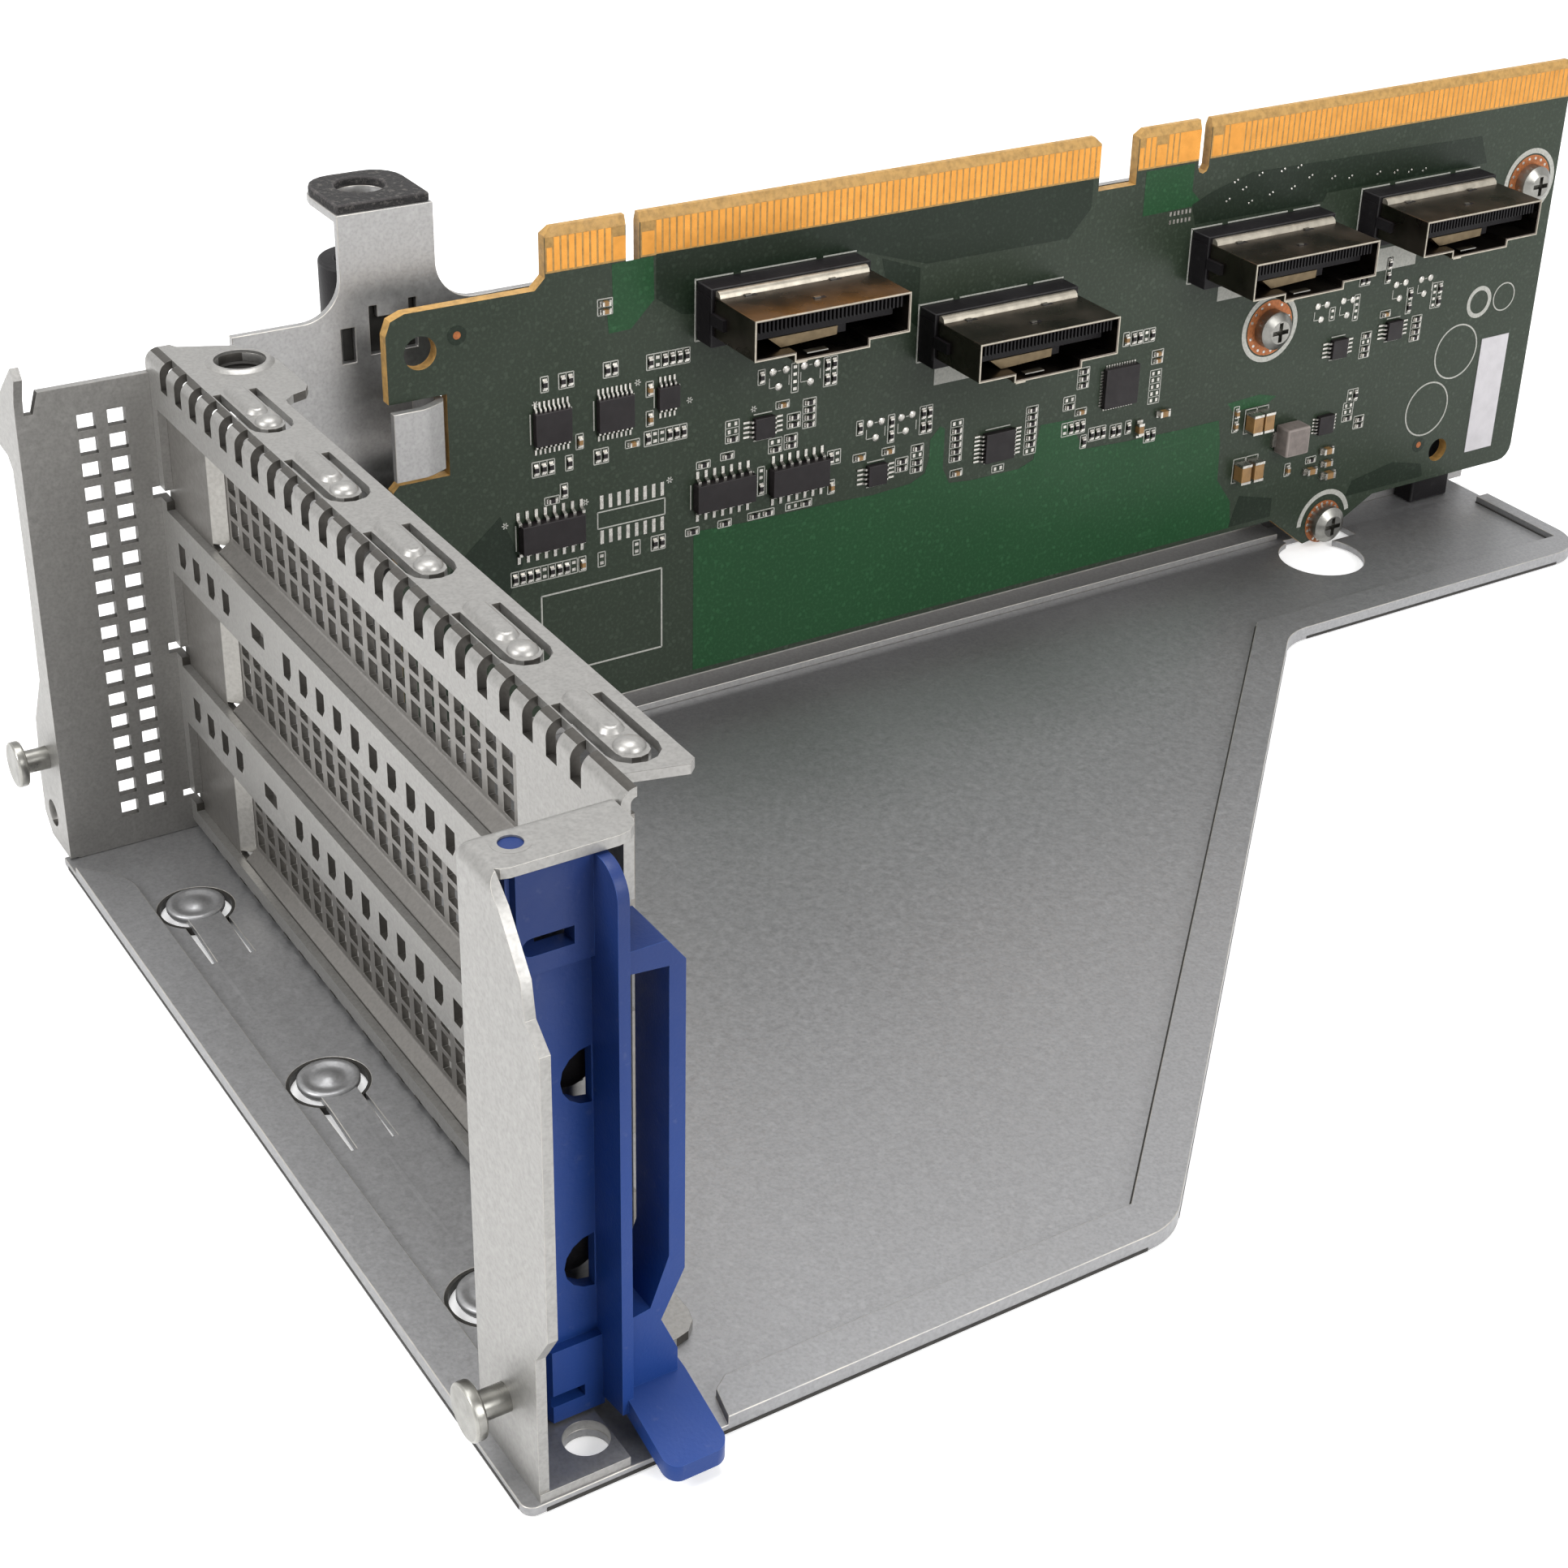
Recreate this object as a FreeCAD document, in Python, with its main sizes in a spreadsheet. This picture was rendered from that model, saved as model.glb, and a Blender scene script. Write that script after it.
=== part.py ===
import FreeCAD, Part
import Sketcher
import math
import os
from FreeCAD import Placement, Rotation, Vector

# Riser cage for a server: a folded sheet cage that holds a riser board and three
# blanked slots. X runs from the board's face to the latch, Y from the slot panel
# towards the far end of the board, Z up from the underside of the cover plate.

doc = FreeCAD.newDocument("riser_cage")
sheet = doc.addObject("Spreadsheet::Sheet", "sizes")

SIZES = [
    ("metal", 1.0, "thickness of the cage's sheet"),
    ("cover_metal", 0.8, "thickness of a slot cover's sheet"),
    ("bend", 1.6, "outer radius of a fold"),
    ("side_gap", 0.05, "gap between parts that sit side by side"),
    ("plate_front", -16.0, "front edge of the cover plate"),
    ("plate_left", -5.3, "left edge of the cover plate beside the slots"),
    ("plate_right", 118.3, "right edge of the cover plate"),
    ("plate_turn", 57.0, "where the right edge turns into the slanted edge"),
    ("plate_waist", 155.0, "where the slanted edge ends"),
    ("plate_neck", 23.8, "right edge of the narrow far part"),
    ("plate_far", 217.0, "far edge of the cover plate"),
    ("hem", 4.9, "width of the folded-over rim"),
    ("far_hem", 2.5, "width of the rim along the far edge"),
    ("hem_start", 4.5, "where the right rim begins"),
    ("front_hem_left", 6.0, "left end of the front rim"),
    ("front_hem_right", 105.2, "right end of the front rim"),
    ("finger_first", 13.0, "first grounding finger"),
    ("finger_pitch", 39.3, "pitch of the grounding fingers"),
    ("finger_line", -6.3, "line of the grounding fingers"),
    ("finger_hole", 4.5, "radius of the opening round a finger's disc"),
    ("finger_disc", 3.2, "radius of a finger's disc"),
    ("finger_arm", 4.0, "width of a finger's arm"),
    ("finger_reach", 12.0, "length of a finger's arm"),
    ("finger_rise", 0.5, "height of a finger's disc above the plate"),
    ("cage_left", -4.3, "inner face of the left wall"),
    ("panel_right", 107.0, "right end of the slot panel"),
    ("panel_top", 63.78, "top of the slot panel"),
    ("wall_top", 61.3, "top of the left wall"),
    ("flange_depth", 8.1, "depth of the panel's top flange"),
    ("flange_right", 106.0, "right end of the top flange"),
    ("flange_wing", 12.1, "depth of the top flange's left end"),
    ("flange_wing_right", 15.5, "right end of the deep left end"),
    ("foot_depth", 8.5, "depth of the panel's foot"),
    ("slot_pitch", 20.32, "pitch of the three slots"),
    ("slot_floor", 4.14, "bottom of the lowest slot window"),
    ("slot_height", 12.6, "height of a slot window"),
    ("window_left", -2.6, "left end of a slot window"),
    ("window_right", 87.6, "right end of a slot window"),
    ("vent_pitch", 4.484, "pitch of the rail's vent holes and of the top notches"),
    ("vent_first", 32.3, "first vent hole of the long row"),
    ("vent_wide", 2.1, "width of a vent hole"),
    ("vent_tall", 2.9, "height of a vent hole"),
    ("vent_drop", 1.95, "height of a vent hole's tip above the rail's lower edge"),
    ("notch_first", 0.4, "first notch of the top fold"),
    ("notch_wide", 2.0, "width of a notch"),
    ("tongue_first", 24.0, "tip of the first spring tongue"),
    ("tongue_pitch", 19.95, "pitch of the spring tongues"),
    ("tongue_wide", 3.2, "width of a spring tongue"),
    ("tongue_slit", 0.9, "width of the slit round a tongue"),
    ("tongue_long", 12.6, "length of a tongue's slit"),
    ("tongue_line", 4.25, "middle line of the tongues"),
    ("wall_front", -15.5, "front face of the left ear strip"),
    ("hole_pitch", 2.98, "pitch of the left wall's holes"),
    ("hole_wide", 2.1, "depth of a wall hole"),
    ("hole_tall", 2.0, "height of a wall hole"),
    ("hole_top", 56.78, "centre of the top wall hole"),
    ("cover_right", 103.5, "right end of a slot cover"),
    ("grille_recess", 1.5, "depth of a cover's grille behind its rim"),
    ("grille_left", 10.8, "left end of a cover's grille"),
    ("grille_first", 12.6, "first grille column"),
    ("grille_pitch", 3.4, "pitch of the grille's columns"),
    ("grille_row", 2.85, "pitch of the grille's rows"),
    ("grille_hole", 2.2, "size of a grille hole"),
    ("grille_low", 2.95, "lowest grille row above the window's floor"),
    ("side_wall", 105.3, "inner face of the latch bracket's wall"),
    ("strip_front", -14.5, "front face of the right ear strip"),
    ("strip_right", 117.9, "right edge of the right ear strip"),
    ("ear_top", 62.8, "top of the bracket's ear"),
    ("ear_right", 111.6, "right edge of the bracket's ear"),
    ("foot_back", -5.5, "rear edge of the bracket's foot"),
    ("pivot_x", 108.2, "latch pivot, along the panel"),
    ("pivot_y", -10.6, "latch pivot, in front of the panel"),
    ("pivot_pin", 1.5, "radius of the latch's pivot stubs"),
    ("pivot_clear", 0.05, "radial running clearance of the pivot"),
    ("latch_clear", 0.3, "gap above and below the latch"),
    ("barrel", 1.65, "radius of the latch's barrel"),
    ("web_back", 109.0, "inner face of the latch's web"),
    ("web_thick", 1.2, "thickness of the latch's web"),
    ("fin_out", 115.0, "outer edge of the latch's fin"),
    ("fin_front", -4.6, "front face of the latch's fin"),
    ("fin_thick", 1.1, "thickness of the latch's fin"),
    ("grip_out", 114.0, "outer face of the latch's grip"),
    ("grip_in", 108.0, "inner face of the latch's grip"),
    ("grip_back", 2.3, "rear face of the latch's grip"),
    ("grip_bar", 1.6, "thickness of the latch's grip"),
    ("grip_top", 53.0, "top of the latch's grip"),
    ("tab_reach", 8.5, "reach of the thumb tab beyond the grip"),
    ("board_thick", 1.57, "thickness of the riser board"),
    ("board_left", 27.0, "left edge of the riser board"),
    ("board_right", 222.6, "right edge of the riser board"),
    ("board_low", 6.5, "lower edge of the riser board"),
    ("board_shoulder", 64.6, "top of the board beside its edge contacts"),
    ("board_top", 72.2, "contact edge of the riser board"),
    ("contact_start", 47.9, "left end of the contact edge"),
    ("key_one", 58.97, "left side of the first key slot"),
    ("key_wide", 1.9, "width of a key slot"),
    ("gap_left", 131.97, "left side of the gap between the two contact edges"),
    ("gap_right", 138.47, "right side of that gap"),
    ("key_two", 149.47, "left side of the second key slot"),
    ("hook_low", 43.0, "lower side of the hook's notch in the board"),
    ("hook_high", 53.6, "upper side of the hook's notch in the board"),
    ("hook_in", 34.5, "depth of the hook's notch in the board"),
    ("standoff", 5.4, "gap between the board and the riser wall"),
    ("riser_end", 219.8, "far end of the riser wall"),
    ("riser_start", 11.0, "near end of the riser wall"),
    ("riser_top", 62.6, "top of the riser wall"),
    ("arm_left", 24.7, "left side of the tall arm"),
    ("arm_right", 36.9, "right side of the tall arm"),
    ("arm_top", 75.1, "top of the tall arm"),
    ("arm_back", -19.0, "end of the tall arm's bent top"),
    ("screw_x", -13.7, "captive screw, behind the riser wall"),
    ("screw_y", 30.6, "captive screw, along the board"),
    ("knob", 5.5, "radius of the captive screw's sleeve"),
    ("knob_tall", 11.9, "height of the sleeve"),
    ("shelf_drop", 20.1, "drop from the arm's top to the shelf of the captive screw"),
    ("screw_neck", 2.4, "radius of the captive screw's neck"),
    ("screw_thread", 1.9, "radius of the captive screw's thread"),
    ("thread_long", 7.4, "length of the captive screw's thread"),
    ("plug_long", 23.7, "length of a cable connector"),
    ("plug_wide", 7.8, "width of a cable connector's base"),
    ("plug_tall", 13.5, "height of a cable connector above the board"),
    ("plug_base", 3.6, "height of a cable connector's black base"),
    ("shell_metal", 0.3, "thickness of a connector's shell"),
    ("shell_tall", 5.3, "width of a connector's mouth"),
    ("standoff_radius", 2.5, "corner radius of a hexagonal standoff"),
    ("screw_head", 2.9, "radius of a board screw's head"),
    ("screw_shank", 1.45, "radius of a board screw's shank"),
    ("shoulder_pin", 1.4, "radius of a shoulder pin"),
    ("shoulder_head", 2.8, "radius of a shoulder pin's head"),
]


class Size:
    """A number that remembers the spreadsheet formula it comes from."""

    def __init__(self, value, text):
        self.value = float(value)
        self.text = text

    def _join(self, sign, other, value):
        return Size(value, "(%s %s %s)" % (self.text, sign, as_size(other).text))

    def __add__(self, other):
        return self._join("+", other, self.value + as_size(other).value)

    def __sub__(self, other):
        return self._join("-", other, self.value - as_size(other).value)

    def __mul__(self, other):
        return self._join("*", other, self.value * as_size(other).value)

    def __truediv__(self, other):
        return self._join("/", other, self.value / as_size(other).value)

    def __radd__(self, other):
        return as_size(other) + self

    def __rsub__(self, other):
        return as_size(other) - self

    def __rmul__(self, other):
        return as_size(other) * self

    def __neg__(self):
        return Size(-self.value, "(0 - %s)" % self.text)


def as_size(number):
    if isinstance(number, Size):
        return number
    return Size(number, "(%.6f)" % number)


def root(size):
    """Square root of a Size."""
    return Size(math.sqrt(size.value), "sqrt(%s)" % size.text)


for row, (alias, value, note) in enumerate(SIZES, start=1):
    sheet.set("A%d" % row, note)
    sheet.set("B%d" % row, repr(value))
    sheet.setAlias("B%d" % row, alias)
doc.recompute()

S = {alias: Size(value, "sizes." + alias) for alias, value, note in SIZES}
METAL = S["metal"]
TAB_OUT = S["grip_out"] + S["tab_reach"]
SHELF_TOP = S["arm_top"] - S["shelf_drop"]
KNOB_LOW = SHELF_TOP + S["latch_clear"]
KNOB_TOP = KNOB_LOW + S["knob_tall"]


# Building helpers

def new_body(name):
    body = doc.addObject("PartDesign::Body", name)
    body.Label = name
    return body


def origin_plane(body, role):
    return [item for item in body.Origin.OriginFeatures if item.Role == role][0]


def add_loop(sketch, points):
    """A closed polygon whose corners are tied to the sheet."""
    first = sketch.GeometryCount
    count = len(points)
    corners = [(as_size(u), as_size(v)) for u, v in points]
    for index in range(count):
        start, end = corners[index], corners[(index + 1) % count]
        line = Part.LineSegment(Vector(start[0].value, start[1].value, 0),
                                Vector(end[0].value, end[1].value, 0))
        sketch.addGeometry(line, False)
    for index in range(count):
        follower = first + (index + 1) % count
        sketch.addConstraint(Sketcher.Constraint("Coincident", first + index, 2, follower, 1))
    for index, corner in enumerate(corners):
        for kind, size in zip(("DistanceX", "DistanceY"), corner):
            link = Sketcher.Constraint(kind, -1, 1, first + index, 1, size.value)
            number = sketch.addConstraint(link)
            sketch.setExpression("Constraints[%d]" % number, size.text)


def add_circle(sketch, u, v, radius):
    """A circle whose centre and radius are tied to the sheet."""
    centre_u, centre_v, size = as_size(u), as_size(v), as_size(radius)
    circle = Part.Circle(Vector(centre_u.value, centre_v.value, 0), Vector(0, 0, 1), size.value)
    index = sketch.addGeometry(circle, False)
    for kind, place in (("DistanceX", centre_u), ("DistanceY", centre_v)):
        number = sketch.addConstraint(Sketcher.Constraint(kind, -1, 1, index, 3, place.value))
        sketch.setExpression("Constraints[%d]" % number, place.text)
    number = sketch.addConstraint(Sketcher.Constraint("Radius", index, size.value))
    sketch.setExpression("Constraints[%d]" % number, size.text)


def new_sketch(body, role, height, outlines, circles=()):
    """A sketch on one of the body's own planes, raised to a height along its normal."""
    sketch = body.newObject("Sketcher::SketchObject", body.Name + "_sketch")
    sketch.AttachmentSupport = [(origin_plane(body, role), "")]
    sketch.MapMode = "FlatFace"
    place = -height if role == "XZ_Plane" else as_size(height)
    sketch.AttachmentOffset = Placement(Vector(0, 0, place.value), Rotation())
    sketch.setExpression("AttachmentOffset.Base.z", place.text)
    for points in outlines:
        add_loop(sketch, points)
    for u, v, radius in circles:
        add_circle(sketch, u, v, radius)
    return sketch


def pad(body, role, low, high, outlines, circles=()):
    """Material between two heights along the plane's axis."""
    low, high = as_size(low), as_size(high)
    start = high if role == "XZ_Plane" else low
    feature = body.newObject("PartDesign::Pad", body.Name + "_pad")
    feature.Profile = new_sketch(body, role, start, outlines, circles)
    feature.Length = (high - low).value
    feature.setExpression("Length", (high - low).text)
    body.Tip = feature
    return feature


def pocket(body, role, low, high, outlines, circles=()):
    """A cut between two heights along the plane's axis."""
    low, high = as_size(low), as_size(high)
    feature = body.newObject("PartDesign::Pocket", body.Name + "_pocket")
    feature.Profile = new_sketch(body, role, (low + high) / 2, outlines, circles)
    feature.Midplane = True
    feature.Length = (high - low).value
    feature.setExpression("Length", (high - low).text)
    body.Tip = feature
    return feature


def repeat(body, features, axis, pitch, count, second=None):
    """A linear pattern of features along a sketch axis, and perhaps along the other too."""
    other = "V_Axis" if axis == "H_Axis" else "H_Axis"
    pattern = body.newObject("PartDesign::LinearPattern", body.Name + "_pattern")
    sketch = features[0].Profile[0]
    pattern.Originals = features
    pattern.Direction = (sketch, [axis])
    pattern.Occurrences = count
    pattern.Length = (pitch * (count - 1)).value
    pattern.setExpression("Length", (pitch * (count - 1)).text)
    if second:
        pitch_two, count_two = second
        pattern.Direction2 = (sketch, [other])
        pattern.Occurrences2 = count_two
        pattern.Length2 = (pitch_two * (count_two - 1)).value
        pattern.setExpression("Length2", (pitch_two * (count_two - 1)).text)
    body.Tip = pattern
    return pattern


def edges_at(shape, axis, spots):
    """Names of the straight edges along an axis that pass through the given spots."""
    free = [index for index in range(3) if index != axis]
    names = []
    for number, edge in enumerate(shape.Edges, start=1):
        ends = [vertex.Point for vertex in edge.Vertexes]
        if len(ends) != 2 or edge.Curve.TypeId != "Part::GeomLine":
            continue
        if max(abs(ends[0][index] - ends[1][index]) for index in free) > 1e-4:
            continue
        for spot in spots:
            if max(abs(ends[0][index] - as_size(value).value)
                   for index, value in zip(free, spot)) < 1e-3:
                names.append("Edge%d" % number)
    return names


def round_edges(body, axis, spots, radius):
    """A fillet on the edges along an axis at the given spots."""
    doc.recompute()
    base = body.Tip
    names = edges_at(base.Shape, axis, spots)
    if not names:
        bad = [(item.Name, item.getStatusString()) for item in body.Group if "Invalid" in item.State]
        raise RuntimeError("no edge to round on %s %s" % (body.Name, bad))
    fillet = body.newObject("PartDesign::Fillet", body.Name + "_fillet")
    fillet.Base = (base, names)
    fillet.Radius = as_size(radius).value
    fillet.setExpression("Radius", as_size(radius).text)
    body.Tip = fillet
    return fillet


def rectangle(left, low, right, high):
    return [(left, low), (right, low), (right, high), (left, high)]


def arc_points(centre_u, centre_v, radius, start, end, steps):
    """Corners along an arc, given by angles in degrees."""
    corners = []
    for step in range(steps + 1):
        angle = math.radians(start + (end - start) * step / steps)
        corners.append((centre_u + radius * round(math.cos(angle), 6),
                        centre_v + radius * round(math.sin(angle), 6)))
    return corners


TURNS = {"X": Rotation(Vector(0, 1, 0), 90), "Y": Rotation(Vector(1, 0, 0), -90), "Z": Rotation()}


def place_item(item, spot, rotation=Rotation()):
    sizes = [as_size(value) for value in spot]
    item.Placement = Placement(Vector(*[size.value for size in sizes]), rotation)
    for letter, size in zip("xyz", sizes):
        item.setExpression("Placement.Base." + letter, size.text)


def set_sizes(item, **sizes):
    for name, size in sizes.items():
        setattr(item, name, as_size(size).value)
        item.setExpression(name, as_size(size).text)


def rod(name, axis, spot, radius, length):
    """A cylinder that starts at a spot and runs along an axis."""
    item = doc.addObject("Part::Cylinder", name)
    set_sizes(item, Radius=radius, Height=length)
    place_item(item, spot, TURNS[axis])
    return item


def block(name, low, high):
    """A box between two corners."""
    item = doc.addObject("Part::Box", name)
    lows = [as_size(value) for value in low]
    highs = [as_size(value) for value in high]
    set_sizes(item, Length=highs[0] - lows[0], Width=highs[1] - lows[1], Height=highs[2] - lows[2])
    place_item(item, lows)
    return item


def join(name, pieces):
    item = doc.addObject("Part::MultiFuse", name)
    item.Shapes = pieces
    return item


def cut(name, base, tool):
    item = doc.addObject("Part::Cut", name)
    item.Base = base
    item.Tool = tool
    return item


def group(name, pieces):
    """Like pieces that stay separate solids in one node."""
    item = doc.addObject("Part::Compound", name)
    item.Links = pieces
    return item


nodes = []


def keep(item, name):
    item.Label = name
    nodes.append((name, item))
    return item


# Cover plate: a flat sheet with a rim folded over on itself

HEM_TOP = METAL * 2
RISER_FACE = -(S["board_thick"] + S["standoff"])
RISER_BACK = RISER_FACE - METAL
RISER_START = S["riser_start"]

slant_x = S["plate_right"] - S["plate_neck"]
slant_y = S["plate_waist"] - S["plate_turn"]
slant = root(slant_x * slant_x + slant_y * slant_y)
half_turn = (slant - slant_y) / slant_x
HEM_BACK = S["hem"] * half_turn


def make_cover_plate():
    body = new_body("cover_plate")
    outline = [
        (S["plate_left"], S["plate_front"]),
        (S["plate_right"], S["plate_front"]),
        (S["plate_right"], S["plate_turn"]),
        (S["plate_neck"], S["plate_waist"]),
        (S["plate_neck"], S["plate_far"]),
        (RISER_BACK, S["plate_far"]),
        (RISER_BACK, RISER_START - 1),
        (S["plate_left"], RISER_START - 1),
    ]
    pad(body, "XY_Plane", 0, METAL, [outline])
    lip_x = S["plate_right"] - S["hem"]
    neck_x = S["plate_neck"] - S["hem"]
    lip_far = S["plate_far"] - S["far_hem"]
    rim = [
        (S["plate_right"], S["hem_start"]),
        (S["plate_right"], S["plate_turn"]),
        (S["plate_neck"], S["plate_waist"]),
        (S["plate_neck"], S["plate_far"]),
        (as_size(1.8), S["plate_far"]),
        (as_size(1.8), lip_far),
        (neck_x, lip_far),
        (neck_x, S["plate_waist"] - HEM_BACK),
        (lip_x, S["plate_turn"] - HEM_BACK),
        (lip_x, S["hem_start"] + S["hem"] / 2),
        (lip_x + S["hem"] / 4, S["hem_start"] + S["hem"] / 6),
    ]
    lip_front = S["plate_front"] + S["hem"]
    front = [
        (S["front_hem_left"] - 7, S["plate_front"]),
        (S["front_hem_right"], S["plate_front"]),
        (S["front_hem_right"], lip_front),
        (S["front_hem_left"], lip_front),
        (S["front_hem_left"] - 3, lip_front - 1),
    ]
    pad(body, "XY_Plane", METAL, HEM_TOP, [rim, front])
    # Grounding fingers stamped out of the plate in front of the panel
    first, line = S["finger_first"], S["finger_line"]
    arm = S["finger_arm"] / 2
    slit = S["side_gap"] * 12
    reach = first + S["finger_reach"]
    shift = S["finger_pitch"]
    opening = pocket(body, "XY_Plane", -1, METAL + 1,
                     [rectangle(first + 2, line - arm - slit, reach, line + arm + slit)])
    repeat(body, [opening], "H_Axis", shift, 3)
    ring = pocket(body, "XY_Plane", -1, METAL + 1, [], [(first, line, S["finger_hole"])])
    repeat(body, [ring], "H_Axis", shift, 3)
    rise = S["finger_rise"]
    ramp = [
        (first - 1, rise + METAL * 0.2),
        (first + 5.5, rise + METAL * 0.2),
        (reach, 0),
        (reach + 0.2, 0),
        (reach + 0.2, METAL),
        (reach, METAL),
        (first + 5.5, rise + METAL),
        (first - 1, rise + METAL),
    ]
    finger = pad(body, "XZ_Plane", line - arm, line + arm, [ramp])
    repeat(body, [finger], "H_Axis", shift, 3)
    disc = pad(body, "XY_Plane", rise + METAL * 0.2, rise + METAL, [],
               [(first, line, S["finger_disc"])])
    repeat(body, [disc], "H_Axis", shift, 3)
    # Opening under the board's lower screw, and the latch bracket's hole
    pocket(body, "XY_Plane", -1, METAL + 1, [],
           [(as_size(5.2), as_size(178.0), as_size(6.6)), (as_size(114.0), as_size(-7.8), as_size(2.2))])
    board_back = -S["board_thick"] - 0.6
    pocket(body, "XY_Plane", -1, METAL + 1, [rectangle(board_back, as_size(176.5), as_size(1.5), as_size(188.5))])
    # Rounded corners of the outline
    right, neck, far = S["plate_right"], S["plate_neck"], S["plate_far"]
    round_edges(body, 2, [(neck, far)], 6.5)
    round_edges(body, 2, [(right, S["plate_turn"]), (neck, S["plate_waist"])], 8)
    round_edges(body, 2, [(right, S["plate_front"])], 1.2)
    return keep(body, "cover_plate")


# Slot panel: windows, rails, top flange with spring tongues, and the left wall

def make_io_panel():
    body = new_body("io_panel")
    left = S["cage_left"] - METAL
    top, depth = S["panel_top"], S["flange_depth"]
    profile = [
        (as_size(0), METAL),
        (S["foot_depth"], METAL),
        (S["foot_depth"], METAL * 2),
        (METAL, METAL * 2),
        (METAL, top - METAL),
        (S["flange_wing"], top - METAL),
        (S["flange_wing"], top),
        (as_size(0), top),
    ]
    pad(body, "YZ_Plane", left, S["panel_right"], [profile])
    round_edges(body, 0, [(0, top), (0, METAL)], S["bend"])
    round_edges(body, 0, [(METAL, top - METAL), (METAL, METAL * 2)], S["bend"] - METAL)
    # Top flange outline
    wing = S["flange_wing_right"]
    deep, end = S["flange_wing"], S["panel_right"] + 1
    pocket(body, "XY_Plane", top - METAL * 1.5, top + 1, [
        [(left - 1, METAL * 2.5), (left + 1.0, METAL * 3.5), (left + 3.5, deep - 2.8), (left + 9.0, deep - 0.3),
         (left + 10.5, deep - 0.1), (wing - 2.4, deep - 0.1), (wing - 1.0, deep - 0.9), (wing - 0.4, depth + 1.4),
         (wing + 0.6, depth + 0.2), (wing + 1.6, depth), (S["flange_right"] - 0.8, depth),
         (S["flange_right"], depth - 0.8), (S["flange_right"] - 1.4, METAL * 1.6), (end, METAL * 1.6),
         (end, deep + 1), (left - 1, deep + 1)],
    ])
    pocket(body, "XY_Plane", METAL * 0.5, METAL * 2.5, [
        rectangle(left - 1, METAL + 1, S["plate_left"] + 1.8, S["foot_depth"] + 1),
        [(S["panel_right"] + 1, S["foot_depth"] - 3), (S["panel_right"] + 1, S["foot_depth"] + 1),
         (S["panel_right"] - 3, S["foot_depth"] + 1), (S["panel_right"] - 3, S["foot_depth"]),
         (S["panel_right"] - 1.5, S["foot_depth"] - 0.4), (S["panel_right"] - 0.4, S["foot_depth"] - 1.5),
         (S["panel_right"], S["foot_depth"] - 3)],
    ])
    # Slot windows, one above another
    floor, tall = S["slot_floor"], S["slot_height"]
    window = pocket(body, "XZ_Plane", -1, METAL + 1,
                    [rectangle(S["window_left"], floor, S["window_right"], floor + tall)])
    repeat(body, [window], "V_Axis", S["slot_pitch"], 3)
    # Vent holes of the two rails: a long row, and four at the left
    low = floor + tall + S["vent_drop"]
    half = S["vent_wide"] / 2
    vent = [(S["vent_first"] - half, low), (S["vent_first"] + half * 0.4, low),
            (S["vent_first"] + half, low + S["vent_tall"] * 0.35),
            (S["vent_first"] + half, low + S["vent_tall"]),
            (S["vent_first"] - half, low + S["vent_tall"])]
    row = pocket(body, "XZ_Plane", -1, METAL + 1, [vent])
    repeat(body, [row], "H_Axis", S["vent_pitch"], 12, (S["slot_pitch"], 2))
    start = S["vent_first"] - S["vent_pitch"] * 7 + 0.4
    short = [(u - S["vent_first"] + start, v) for u, v in vent]
    row = pocket(body, "XZ_Plane", -1, METAL + 1, [short])
    repeat(body, [row], "H_Axis", S["vent_pitch"], 4, (S["slot_pitch"], 2))
    oval = S["vent_first"] - S["vent_pitch"] * 2
    slot = pocket(body, "XZ_Plane", -1, METAL + 1,
                  [rectangle(oval - half, low + 0.6, oval + half * 2.4, low + S["vent_tall"] - 0.4)])
    repeat(body, [slot], "V_Axis", S["slot_pitch"], 2)
    # Notches through the top fold
    notch = pocket(body, "YZ_Plane", S["notch_first"] - S["notch_wide"] / 2,
                   S["notch_first"] + S["notch_wide"] / 2,
                   [[(as_size(-1), top - 3.4), (METAL + 0.6, top - 3.4), (METAL + 0.6, top + 1),
                     (as_size(-1), top + 1)]])
    pattern = body.newObject("PartDesign::LinearPattern", "notch_pattern")
    pattern.Originals = [notch]
    pattern.Direction = (origin_axis(body, "X_Axis"), [""])
    pattern.Occurrences = 23
    pattern.Length = (S["vent_pitch"] * 22).value
    pattern.setExpression("Length", (S["vent_pitch"] * 22).text)
    body.Tip = pattern
    # Spring tongues: a slit runs round three sides of each
    outer = S["tongue_wide"] / 2 + S["tongue_slit"]
    inner = S["tongue_wide"] / 2
    line, tip = S["tongue_line"], S["tongue_first"]
    tail = tip - S["tongue_long"]
    slit = [(tail, line - outer)] + arc_points(tip - outer, line, outer, -90, 90, 6)
    slit += [(tail, line + outer), (tail, line + inner)]
    slit += arc_points(tip - outer, line, inner, 90, -90, 6) + [(tail, line - inner)]
    cut_out = pocket(body, "XY_Plane", top - METAL - 0.5, top + 1, [slit])
    repeat(body, [cut_out], "H_Axis", S["tongue_pitch"], 5)
    pocket(body, "XY_Plane", top - METAL - 0.5, top + 1, [],
           [(as_size(3.4), as_size(8.0), as_size(2.9))])
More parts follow.
